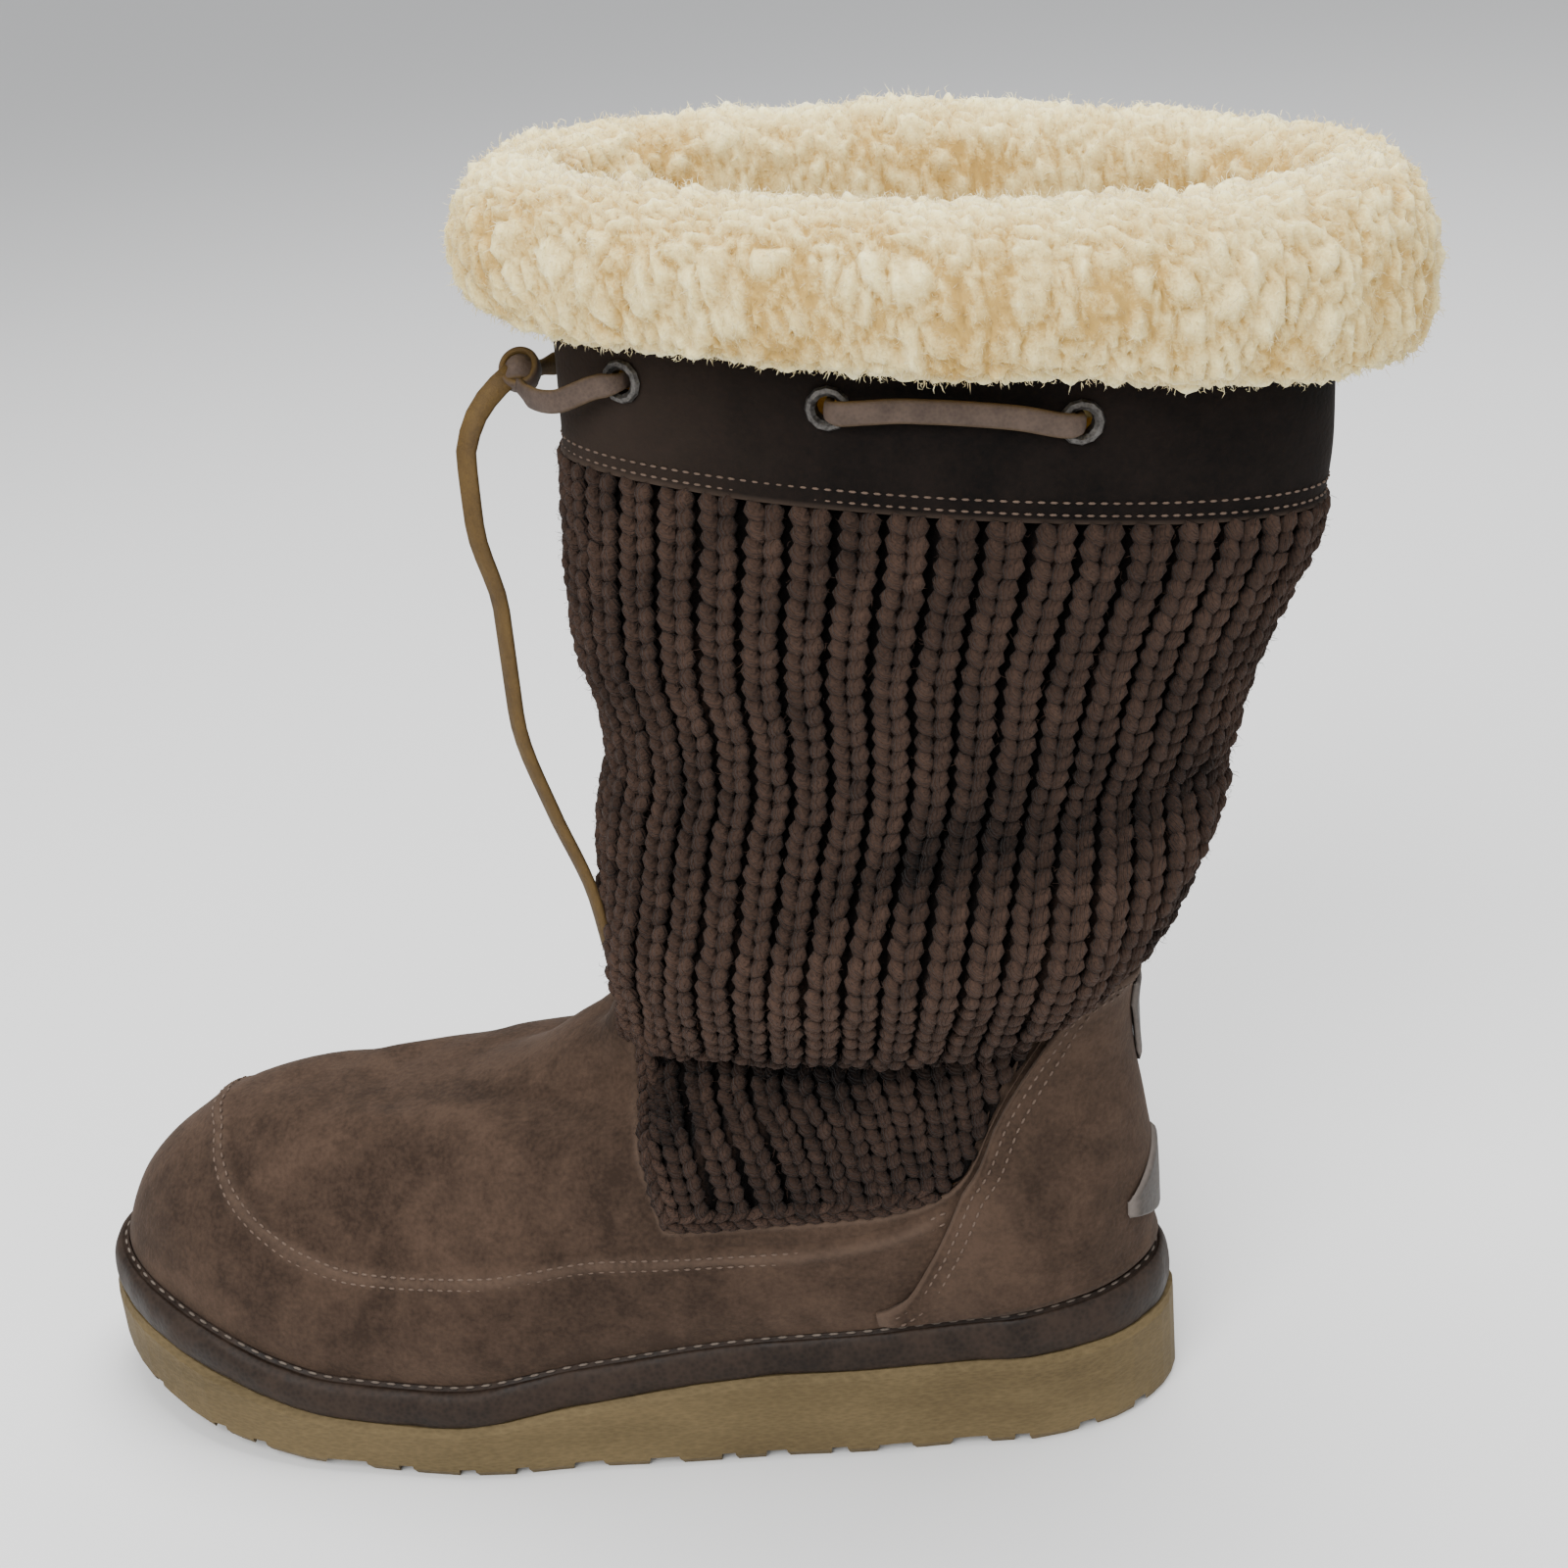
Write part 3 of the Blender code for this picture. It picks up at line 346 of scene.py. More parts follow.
def meshPiece(name, points, faces, tones=None, local=None):
    # a mesh from points and faces, with a tone and the small form's own coordinates for the materials
    mesh = bpy.data.meshes.new(name)
    mesh.vertices.add(len(points))
    mesh.vertices.foreach_set("co", np.ascontiguousarray(points, float).ravel())
    if isinstance(faces, np.ndarray):
        sizes, loose = np.full(len(faces), faces.shape[1]), faces.ravel()
    else:
        sizes, loose = np.array([len(face) for face in faces]), np.concatenate(faces)
    mesh.loops.add(len(loose))
    mesh.loops.foreach_set("vertex_index", loose.astype(np.int32))
    mesh.polygons.add(len(sizes))
    mesh.polygons.foreach_set("loop_start", np.concatenate([[0], np.cumsum(sizes)[:-1]]).astype(np.int32))
    mesh.update(calc_edges=True)
    mesh.validate()
    if tones is not None:
        layer = mesh.attributes.new("tone", "FLOAT", "POINT")
        layer.data.foreach_set("value", np.ascontiguousarray(tones, float))
    if local is not None:
        layer = mesh.attributes.new("local", "FLOAT_VECTOR", "POINT")
        layer.data.foreach_set("vector", np.ascontiguousarray(local, float).ravel())
    mesh.shade_smooth()
    piece = bpy.data.objects.new(name, mesh)
    bpy.context.scene.collection.objects.link(piece)
    return piece


def smallForm(add, squash=(1.0, 1.0, 1.0), **sizes):
    # the points and triangles of a small form that is repeated many times
    deselect()
    add(**sizes)
    made = bpy.context.active_object
    bpy.ops.object.mode_set(mode="EDIT")
    bpy.ops.mesh.select_all(action="SELECT")
    bpy.ops.transform.resize(value=squash)
    bpy.ops.object.mode_set(mode="OBJECT")
    # points and triangles in a fixed order, so that every run gives the same form
    points = np.array([vertex.co[:] for vertex in made.data.vertices])
    order = np.lexsort(np.round(points, 6).T)
    newIndex = np.argsort(order)
    faces = []
    for polygon in made.data.polygons:
        corners = [int(newIndex[corner]) for corner in polygon.vertices]
        first = corners.index(min(corners))
        corners = corners[first:] + corners[:first]
        faces += [(corners[0], one, two) for one, two in zip(corners[1:], corners[2:])]
    bpy.data.objects.remove(made)
    return points[order], np.array(sorted(faces))


def scattered(name, small, places, across, lengthwise, outward, sizes, tones):
    # copies of the small form; sizes are width, length and thickness of each copy
    points, faces = small
    spots = (places[:, None, :]
             + points[None, :, 0:1] * (across * sizes[:, 0:1])[:, None, :]
             + points[None, :, 1:2] * (lengthwise * sizes[:, 1:2])[:, None, :]
             + points[None, :, 2:3] * (outward * sizes[:, 2:3])[:, None, :])
    shift = np.arange(len(places))[:, None, None] * len(points)
    many = (faces[None] + shift).reshape(-1, 3)
    # painted shade on each copy: lighter on its outward crown and darker toward its sides
    shades = tones[:, None] + points[None, :, 2] * 0.45 - np.abs(points[None, :, 0]) * 0.25
    return meshPiece(name, spots.reshape(-1, 3), many, shades.ravel(), np.tile(points, (len(places), 1)))


def unit(vectors):
    return vectors / np.maximum(np.linalg.norm(vectors, axis=-1, keepdims=True), 1e-12)


def sampled(where, steps, values):
    # a row of points or directions, read at places along its length
    return np.stack([np.interp(where, steps, values[:, axis]) for axis in range(3)], axis=1)


def resampled(points, pitch, closed=False):
    # even steps along a line, with the direction at each
    if closed:
        points = np.vstack([points, points[:1]])
    steps = lengthAlong(points)
    count = max(int(round(steps[-1] / pitch)), 1)
    where = (np.arange(count) + 0.5) * steps[-1] / count
    ahead, behind = sampled(where + 0.0004, steps, points), sampled(where - 0.0004, steps, points)
    return sampled(where, steps, points), unit(ahead - behind), where, steps


def roundLoop(section, v):
    # a smooth closed curve through the rows of a section
    count = len(section)
    where = np.mod(v, 1.0) * count
    index = np.floor(where).astype(int)
    share = (where - index)[:, None]
    before, first = section[(index - 1) % count], section[index % count]
    second, after = section[(index + 1) % count], section[(index + 2) % count]
    return 0.5 * (2 * first + (second - before) * share
                  + (2 * before - 5 * first + 4 * second - after) * share ** 2
                  + (3 * first - before - 3 * second + after) * share ** 3)


def noiseAt(spots, scale):
    return np.array([noise.noise(Vector(spot) * scale) for spot in spots])


# shared effects for the materials
def newGroup(name, given, results):
    group = bpy.data.node_groups.new(name, "ShaderNodeTree")
    for title, value in given.items():
        kind = "Vector" if title == "Vector" else "Color" if isinstance(value, tuple) else "Float"
        socket = group.interface.new_socket(title, in_out="INPUT", socket_type="NodeSocket" + kind)
        socket.default_value = value
    for title in results:
        kind = "Color" if title == "Color" else "Float"
        group.interface.new_socket(title, in_out="OUTPUT", socket_type="NodeSocket" + kind)
    return group, group.nodes.new("NodeGroupInput").outputs, group.nodes.new("NodeGroupOutput").inputs


def fed(tree, inputs, values):
    # gives inputs their plain values, or links them to the output that feeds them
    for key, value in values.items():
        if isinstance(value, bpy.types.NodeSocket):
            tree.links.new(value, inputs[key])
        else:
            inputs[key].default_value = value


def added(tree, kind, values, **settings):
    node = tree.nodes.new("ShaderNode" + kind)
    for key, value in settings.items():
        setattr(node, key, value)
    fed(tree, node.inputs, values)
    return node.outputs


def noisy(tree, vector, scale, **more):
    return added(tree, "TexNoise", {"Vector": vector, "Scale": scale, **more})["Fac"]


def summed(tree, value, factor, base):
    return added(tree, "Math", {0: value, 1: factor, 2: base}, operation="MULTIPLY_ADD")[0]


def ranged(tree, value, fromLow, fromHigh, low=0.0, high=1.0):
    return added(tree, "MapRange", {"Value": value, "From Min": fromLow, "From Max": fromHigh, "To Min": low,
                                    "To Max": high})["Result"]


def mixed(tree, share, first, second):
    return added(tree, "Mix", {0: share, 6: first, 7: second}, data_type="RGBA")[2]


def makeNapGroup():
    # patches of brushed nap: light and dark areas, fine grain and its height
    group, given, results = newGroup("brushedNap", {
        "Vector": (0.0, 0.0, 0.0), "Dark": (0.05, 0.03, 0.02, 1.0), "Light": (0.2, 0.12, 0.08, 1.0),
        "Patch Scale": 40.0, "Grain Scale": 900.0, "Patch Contrast": 1.0}, ["Color", "Height", "Roughness"])
    patch = noisy(group, given["Vector"], given["Patch Scale"], Detail=3.0, Distortion=0.8)
    streak = noisy(group, given["Vector"], 210.0, Detail=4.0)
    grain = noisy(group, given["Vector"], given["Grain Scale"], Detail=3.0)
    shade = summed(group, grain, 0.6, summed(group, streak, 0.45, patch))
    contrast = added(group, "Mix", {0: given["Patch Contrast"], 2: 0.5, 3: ranged(group, shade, 0.80, 1.25)},
                     data_type="FLOAT")[0]
    fed(group, results, {
        "Color": mixed(group, contrast, given["Dark"], given["Light"]),
        "Height": summed(group, streak, 0.6, grain),
        "Roughness": ranged(group, grain, 0.0, 1.0, 0.86, 1.0)})
    return group


def makeFibreGroup():
    # twisted or tangled fibres: a tone from the piece's own attribute, with fine streaks
    group, given, results = newGroup("tangledFibres", {
        "Vector": (0.0, 0.0, 0.0), "Tone": 0.5, "Dark": (0.05, 0.03, 0.02, 1.0),
        "Light": (0.2, 0.12, 0.08, 1.0), "Fibre Scale": 700.0, "Patch Scale": 30.0}, ["Color", "Height"])
    fibre = noisy(group, given["Vector"], given["Fibre Scale"], Detail=4.0, Distortion=1.2)
    patch = noisy(group, given["Vector"], given["Patch Scale"], Detail=2.0)
    shade = summed(group, patch, 0.9, summed(group, fibre, 0.7, given["Tone"]))
    fed(group, results, {
        "Color": mixed(group, ranged(group, shade, 0.75, 1.75), given["Dark"], given["Light"]),
        "Height": fibre})
    return group


def makeHideGroup():
    # smooth leather: fine pores and soft creases
    group, given, results = newGroup("smoothHide", {
        "Vector": (0.0, 0.0, 0.0), "Dark": (0.1, 0.08, 0.06, 1.0), "Light": (0.2, 0.16, 0.13, 1.0),
        "Pore Scale": 900.0, "Patch Scale": 60.0}, ["Color", "Height", "Roughness"])
    pores = added(group, "TexVoronoi", {"Vector": given["Vector"], "Scale": given["Pore Scale"]})["Distance"]
    patch = noisy(group, given["Vector"], given["Patch Scale"], Detail=5.0)
    blend = summed(group, pores, 0.35, patch)
    fed(group, results, {
        "Color": mixed(group, ranged(group, blend, 0.42, 0.86), given["Dark"], given["Light"]),
        "Height": blend,
        "Roughness": ranged(group, patch, 0.3, 0.7, 0.46, 0.70)})
    return group


napGroup = makeNapGroup()
fibreGroup = makeFibreGroup()
hideGroup = makeHideGroup()


def newMaterial(name, **plain):
    # a material with plain constants on its shader, and the object's own coordinates
    made = bpy.data.materials.new(name)
    made.use_nodes = True
    tree = made.node_tree
    shader = tree.nodes["Principled BSDF"].inputs
    fed(tree, shader, {key.replace("_", " "): value for key, value in plain.items()})
    return made, tree, shader, added(tree, "TexCoord", {})["Object"]


def fromGroup(tree, group, vector, **values):
    node = tree.nodes.new("ShaderNodeGroup")
    node.node_tree = group
    named = {key.replace("_", " "): value for key, value in values.items()}
    fed(tree, node.inputs, {"Vector": vector, **named})
    return node.outputs


def attribute(tree, name):
    return added(tree, "Attribute", {}, attribute_name=name)


def bumped(tree, shader, height, strength, distance):
    below = {"Normal": shader["Normal"].links[0].from_socket} if shader["Normal"].links else {}
    bump = added(tree, "Bump", {"Strength": strength, "Distance": distance, "Height": height, **below})
    fed(tree, shader, {"Normal": bump["Normal"]})


def suedeLook(name, dark, light, patchScale, contrast, sheen):
    made, tree, shader, spot = newMaterial(name, Roughness=0.95, Sheen_Weight=sheen, Sheen_Roughness=0.45,
                                           Specular_IOR_Level=0.12, Sheen_Tint=(0.75, 0.62, 0.52, 1.0))
    nap = fromGroup(tree, napGroup, spot, Dark=dark, Light=light, Patch_Scale=patchScale,
                    Patch_Contrast=contrast)
    fed(tree, shader, {"Base Color": nap["Color"], "Roughness": nap["Roughness"]})
    bumped(tree, shader, nap["Height"], 0.55, 0.0004)
    return made


def fibreLook(name, dark, light, fibreScale, patchScale, strength, sheen, flat=None):
    made, tree, shader, spot = newMaterial(name, Roughness=0.96, Sheen_Weight=sheen, Sheen_Roughness=0.5,
                                           Specular_IOR_Level=0.10)
    tone = attribute(tree, "tone")["Fac"] if flat is None else flat
    fibres = fromGroup(tree, fibreGroup, spot, Dark=dark, Light=light, Fibre_Scale=fibreScale,
                       Patch_Scale=patchScale, Tone=tone)
    fed(tree, shader, {"Base Color": fibres["Color"]})
    bumped(tree, shader, fibres["Height"], strength, 0.0006)
    return made


def softLight(made, weight, reach):
    # light that spreads inside the wool
    fed(made.node_tree, made.node_tree.nodes["Principled BSDF"].inputs, {
        "Subsurface Weight": weight, "Subsurface Radius": (1.0, 0.9, 0.6), "Subsurface Scale": reach})


def twistedYarn(made, turns, strength):
    # plies that wind along each loop, from the loop's own coordinates
    tree = made.node_tree
    wave = added(tree, "TexWave", {"Vector": attribute(tree, "local")["Vector"], "Scale": turns,
                                   "Distortion": 1.5, "Detail": 2.0}, bands_direction="DIAGONAL")
    bumped(tree, tree.nodes["Principled BSDF"].inputs, wave["Fac"], strength, 0.0005)


def wornAndLit(made, light):
    # lighter colour for brushed edges, rubbed places and painted light, from the piece's own wear attribute
    tree = made.node_tree
    base = tree.nodes["Principled BSDF"].inputs["Base Color"]
    rub = added(tree, "Math", {0: attribute(tree, "wearAndPaintedLight")["Fac"], 1: 1.0}, operation="MULTIPLY",
                use_clamp=True)[0]
    tree.links.new(mixed(tree, rub, base.links[0].from_socket, light), base)
    return made


def hideLook(name, dark, light, poreScale, patchScale, strength):
    made, tree, shader, spot = newMaterial(name, Specular_IOR_Level=0.15)
    hide = fromGroup(tree, hideGroup, spot, Dark=dark, Light=light, Pore_Scale=poreScale,
                     Patch_Scale=patchScale)
    fed(tree, shader, {"Base Color": hide["Color"], "Roughness": hide["Roughness"]})
    bumped(tree, shader, hide["Height"], strength, 0.0003)
    return made


def laceLook():
    # smooth taupe face, raw golden flesh side and edges where the tone attribute is 1
    made, tree, shader, spot = newMaterial("laceLeather", Roughness=0.7, Specular_IOR_Level=0.25)
    smooth = fromGroup(tree, hideGroup, spot, Dark=(0.042, 0.028, 0.021, 1.0),
                       Light=(0.070, 0.048, 0.036, 1.0),
                       Pore_Scale=1300.0, Patch_Scale=240.0)
    raw = fromGroup(tree, fibreGroup, spot, Dark=(0.020, 0.0095, 0.0022, 1.0),
                    Light=(0.105, 0.061, 0.015, 1.0),
                    Fibre_Scale=1500.0, Patch_Scale=160.0, Tone=0.5)
    fed(tree, shader, {"Base Color": mixed(tree, attribute(tree, "tone")["Fac"], smooth["Color"],
                                           raw["Color"])})
    bumped(tree, shader, raw["Height"], 0.5, 0.0003)
    return made


def foamLook():
    # gum foam: faint level streaks and fine grain
    made, tree, shader, spot = newMaterial("gumFoam", Roughness=0.78, Specular_IOR_Level=0.25)
    level = added(tree, "Mapping", {"Scale": (1.0, 1.0, 3.5), "Vector": spot})["Vector"]
    streaks = fromGroup(tree, hideGroup, level, Dark=(0.066, 0.046, 0.0190, 1.0),
                        Light=(0.112, 0.080, 0.036, 1.0),
                        Pore_Scale=520.0, Patch_Scale=20.0)
    grain = fromGroup(tree, hideGroup, spot, Pore_Scale=1500.0, Patch_Scale=420.0)
    fed(tree, shader, {"Base Color": streaks["Color"]})
    bumped(tree, shader, grain["Height"], 0.5, 0.0004)
    return made


def silverLook():
    made, tree, shader, spot = newMaterial("antiqueSilver", Metallic=1.0)
    dull = fromGroup(tree, hideGroup, spot, Dark=(0.030, 0.028, 0.026, 1.0), Light=(0.13, 0.122, 0.115, 1.0),
                     Pore_Scale=1800.0, Patch_Scale=500.0)
    fed(tree, shader, {"Base Color": dull["Color"], "Roughness": dull["Roughness"]})
    bumped(tree, shader, dull["Height"], 0.3, 0.0001)
    return made


suede = wornAndLit(suedeLook("brownSuede", (0.0175, 0.0105, 0.0070, 1.0), (0.060, 0.0370, 0.0250, 1.0), 34.0, 0.80,
                       0.05),
             (0.115, 0.078, 0.057, 1.0))
# the band's very dark colours are partly its own dark suede and partly painted shade under the cuff
bandSuede = wornAndLit(suedeLook("darkShadedBandSuede", (0.0014, 0.0009, 0.0007, 1.0), (0.0070, 0.0044, 0.0034, 1.0),
                           30.0, 1.0, 0.012), (0.060, 0.041, 0.030, 1.0))
# the near-black dark end is the painted shade in the grooves and under the fold
yarn = fibreLook("brownYarn", (0.0020, 0.0010, 0.0007, 1.0), (0.056, 0.0330, 0.0235, 1.0), 1000.0, 60.0, 1.0,
                 0.025)
twistedYarn(yarn, 2.2, 0.9)
# the dark end is also the painted shade of the wool's clefts, lower face and inside
fleece = fibreLook("creamFleece", (0.46, 0.295, 0.085, 1.0), (0.99, 0.895, 0.480, 1.0), 1100.0, 50.0, 0.30,
                   0.04)
softLight(fleece, 0.35, 0.004)
thread = fibreLook("tanThread", (0.050, 0.033, 0.024, 1.0), (0.130, 0.092, 0.070, 1.0), 1800.0, 60.0, 0.3,
                   0.05,
                   0.55)
paleThread = fibreLook("paleThread", (0.055, 0.043, 0.035, 1.0), (0.16, 0.13, 0.105, 1.0), 1800.0, 60.0, 0.3,
                       0.05,
                       0.5)
welting = wornAndLit(hideLook("taupeWelting", (0.0090, 0.0055, 0.0036, 1.0), (0.026, 0.0164, 0.0112, 1.0), 800.0,
                        90.0, 0.6),
               (0.055, 0.040, 0.030, 1.0))
greyHide = wornAndLit(hideLook("greyHide", (0.030, 0.025, 0.022, 1.0), (0.066, 0.056, 0.049, 1.0), 950.0, 120.0,
                         0.5),
                (0.20, 0.17, 0.15, 1.0))
laceHide = laceLook()
foam = foamLook()
silver = silverLook()
print("materials made")

# lace: a flat lace through the eyelets, tied in front, with one hanging end
laceStyle = {
    "width": 0.0050, "thickness": 0.0018, "holes": (0.385, 0.582, 0.785), "holeRise": 0.0210,
    "holeRadius": 0.0036, "knotSize": (0.0100, 0.0120, 0.0125), "knotOut": 0.78, "knotRise": 1.336,
}
stripSection = np.array([
    (-0.50, -0.10, 1.0), (-0.50, 0.14, 0.9), (-0.45, 0.36, 0.3), (-0.34, 0.48, 0.0), (0.0, 0.54, 0.0),
    (0.34, 0.48, 0.0), (0.45, 0.36, 0.3), (0.50, 0.14, 0.9), (0.50, -0.10, 1.0), (0.44, -0.36, 1.0),
    (0.0, -0.44, 1.0), (-0.44, -0.36, 1.0),
])
# the hanging end, as steps from the knot
endSteps = [
    (-0.0012, -0.0022, 0.0004), (-0.0063, -0.0040, -0.0035), (-0.0103, -0.0070, -0.0090),
    (-0.0123, -0.0090, -0.0160),
    (-0.0123, -0.0100, -0.0309), (-0.0090, -0.0100, -0.0507), (-0.0090, -0.0100, -0.0750),
    (-0.0035, -0.0100, -0.1000),
    (0.0037, -0.0130, -0.1190), (0.0065, -0.0160, -0.1325),
]


def smoothRoute(route, outs, spacing):
    # even points on a smooth curve through a route, with the direction that the smooth face looks to
    route, outs = np.asarray(route, float), np.asarray(outs, float)
    knots = lengthAlong(route)
    where = np.linspace(0.0, knots[-1], max(int(knots[-1] / spacing), 4) + 1)
    points = np.stack([curve(knots, route[:, axis], where) for axis in range(3)], axis=1)
    return points, unit(sampled(where, knots, outs))


def flatStrip(name, points, outs, closed=False, narrow=0, width=laceStyle["width"]):
    # a flat lace along its points; tone 0 is its smooth face and 1 its raw side
    tangent = np.roll(points, -1, axis=0) - np.roll(points, 1, axis=0)
    if not closed:
        tangent[0], tangent[-1] = points[1] - points[0], points[-1] - points[-2]
    tangent = unit(tangent)
    across = unit(np.cross(tangent, outs))
    face = unit(np.cross(across, tangent))
    count, corners = len(points), len(stripSection)
    near = np.minimum(np.arange(count), np.arange(count)[::-1])
    wide = width * (np.interp(near, [0, narrow, narrow + 3], [0.7, 0.72, 1.0]) if narrow else np.ones(count))
    spots = (points[:, None] + across[:, None] * (stripSection[:, 0] * wide[:, None])[..., None]
             + face[:, None] * (stripSection[:, 1] * laceStyle["thickness"])[None, :, None])
    faces = []
    for row in range(count if closed else count - 1):
        for corner in range(corners):
            here, after = row * corners, (row + 1) % count * corners
            beside = (corner + 1) % corners
            faces.append((here + corner, here + beside, after + beside, after + corner))
    if not closed:
        faces.append(tuple(range(corners)))
        faces.append(tuple(range((count - 1) * corners, count * corners)))
    piece = meshPiece(name, spots.reshape(-1, 3), faces, np.tile(stripSection[:, 2], count))
    faceOut(piece)
    return piece


def eyeletSpot(turn, side):
    seam = surface(turn, side, seamLevel)
    level = levelAt(turn, side, seam[2] + laceStyle["holeRise"])
    spot = surface(turn, side, level)
    outward = normal(turn, side, level)
    upward = surface(turn, side, level + 0.1) - spot
    return spot, outward, unit(upward - outward * (upward @ outward))


def through(spot, outward, toward):
    # a lace that comes out of an eyelet and turns toward a direction
    flat = unit(toward - outward * (toward @ outward))
    steps = ((-1.8, 0.0), (-0.22, 0.0), (0.89, 0.11), (1.67, 0.67), (2.0, 1.9))
    return [spot + (outward * out + flat * ahead) * laceStyle["thickness"] for out, ahead in steps]


knotSize = np.array(laceStyle["knotSize"])
knotPlace = surface(1.0, -1.0, seamLevel) + np.array([-knotSize[0] * laceStyle["knotOut"], 0.0,
                                                      knotSize[2] * laceStyle["knotRise"]])
# wraps of the knot: tilt, reach from its middle and rise
knotWraps = ((0.0, 0.0024, 0.0), (0.8, 0.0036, 0.0004), (-0.7, 0.0030, -0.0008), (1.5, 0.0011, 0.0002))
knotPieces = []
for index, (tilt, reach, shift) in enumerate(knotWraps):
    around = np.linspace(0.0, 2.0 * np.pi, 37)[:-1]
    over = np.sin(around)
    loopOut = np.stack([np.cos(around), over * math.cos(tilt), over * math.sin(tilt)], axis=1)
    loopPoints = knotPlace + loopOut * np.array([reach, reach * 1.12, reach * 1.1]) + (0.0, 0.0, shift)
    piece = flatStrip("lace_wrap_%d" % (index + 1), loopPoints, loopOut, True, 0, 0.0044)
    knotPieces.append(place(piece, laceHide, cadSlot="lace_leather"))
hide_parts("lace_knot")
corePoints, coreFaces = smallForm(bpy.ops.mesh.primitive_uv_sphere_add, (0.0036, 0.0040, 0.0038),
                                  segments=20, ring_count=12, radius=1.0)
knotPieces.append(meshPiece("lace_core", knotPlace + corePoints, coreFaces, np.zeros(len(corePoints))))
place(knotPieces[-1], laceHide, cadSlot="lace_leather")

endRoute = [knotPlace + np.array(step) for step in endSteps]
endOuts = [(0.30, 0.95, 0.1), (0.30, 0.95, 0.1), (0.30, 0.95, 0.0), (0.38, 0.92, 0.0), (0.46, 0.88, 0.0),
           (0.62, 0.78, 0.0), (0.66, 0.75, 0.0), (0.70, 0.71, 0.0), (0.78, 0.62, 0.0), (0.82, 0.57, 0.0)]
endPoints, endFacing = smoothRoute(endRoute, endOuts, 0.0040)
laceEnd = place(flatStrip("lace_hanging_end", endPoints, endFacing), laceHide, "lace_end",
                cadSlot="lace_leather")

for sideName, side in (("outer", -1.0), ("inner", 1.0)):
    (first, firstOut, _), (last, lastOut, _), (front, frontOut, _) = [
        eyeletSpot(turn, side) for turn in laceStyle["holes"]]
    span = unit(last - first)
    route = through(first, firstOut, span)
    outs = [-span] * 3 + [unit(firstOut - span), firstOut]
    for share in (0.25, 0.42, 0.58, 0.75):
        turn = laceStyle["holes"][0] + (laceStyle["holes"][1] - laceStyle["holes"][0]) * share
        spot, outward, upward = eyeletSpot(turn, side)
        bow = math.sin(math.pi * share)
        route.append(spot + (outward * 1.8 + upward * 0.9 * bow) * laceStyle["thickness"])
        outs.append(outward)
    route += through(last, lastOut, -span)[::-1]
    outs += [lastOut, unit(lastOut + span)] + [span] * 3
    points, facing = smoothRoute(route, outs, 0.0011)
    place(flatStrip("lace_run_" + sideName, points, facing, False, 4), laceHide, "lace_bar_" + sideName,
          cadSlot="lace_leather")
    goal = knotPlace + np.array([0.0010, side * (knotSize[1] * 0.5 + 0.0006), -0.0015])
    route = through(front, frontOut, goal - front)
    span = unit(goal - front)
    outs = [-span] * 3 + [unit(frontOut - span), frontOut]
    away = unit(np.array([-0.55, side * 0.83, 0.0]))
    for share in (0.45, 0.72, 1.0):
        bow = math.sin(math.pi * share)
        route.append(front + (goal - front) * share
                     + away * laceStyle["thickness"] * (1.9 * (1.0 - share) + 2.8 * bow)
                     - np.array([0.0, 0.0, 1.2 * laceStyle["thickness"] * bow]))
        outs.append(away)
    points, facing = smoothRoute(route, outs, 0.0011)
    place(flatStrip("lace_front_" + sideName, points, facing, False, 4), laceHide, "lace_tie_" + sideName,
          cadSlot="lace_leather")
print("lace made")

# fleece cuff: a roll of wool clumps with a soft fuzz of short curls
cuffStyle = {
    "columns": 620, "rows": 112, "inset": 0.0020, "clump": 0.0027, "clumpScale": 190.0, "curl": 0.0009,
    "swell": 0.0014, "fuzzRound": 262, "fuzzRows": 40, "fuzzLength": 0.0025, "fuzzRadius": 0.000085,
    "seed": 7,
}
cuffSection = np.array([
    (0.06, 0.13, 0.0), (0.12, 0.00, 0.2), (0.34, -0.08, 0.9), (0.62, -0.05, 1.0), (0.86, 0.05, 1.0),
    (1.00, 0.34, 1.0), (0.97, 0.62, 1.0), (0.74, 0.86, 1.0), (0.42, 0.98, 1.0), (0.06, 1.00, 1.0),
    (-0.28, 0.93, 1.0), (-0.52, 0.72, 1.0), (-0.60, 0.30, 1.0), (-0.54, -0.22, 0.6), (-0.24, -0.30, 0.0),
    (-0.175, -0.20, 0.0), (-0.175, 0.60, 0.0), (0.07, 0.60, 0.0),
])


def sectionAt(v):
    # the roll's section: outward share, upward share, fleece share
    out, up, soft = roundLoop(cuffSection, v).T
    return out, up, np.clip(soft, 0.0, 1.0)


def cuffPoint(phase, out, up, inset):
    turns, sides = wrapped(phase)
    middle = surface(turns, sides, seamLevel + 1.0)
    low = form["cuffLowEdge"] - form["cuffLowSlope"] * middle[:, 0]
    crest = form["cuffCrest"] - form["cuffCrestSlope"] * middle[:, 0] + form["cuffTilt"] * middle[:, 1]
    height = low + up * (crest - low)
    level = levelAt(turns, sides, height)
    outward = normal(turns, sides, level)
    outward[:, 2] = 0.0
    outward = unit(outward)
    ring = surface(turns, sides, level) + outward * (out * form["cuffThickness"])[:, None]
    ring[:, 2] = height
    centre = surface(turns, sides, level) + outward * (0.18 * form["cuffThickness"])
    centre[:, 2] = low + 0.45 * (crest - low)
    inward = unit(centre - ring)
    return ring + inward * inset[:, None], inward


# the noise offsets are seeded, so that every run gives the same curls
noise.seed_set(cuffStyle["seed"])


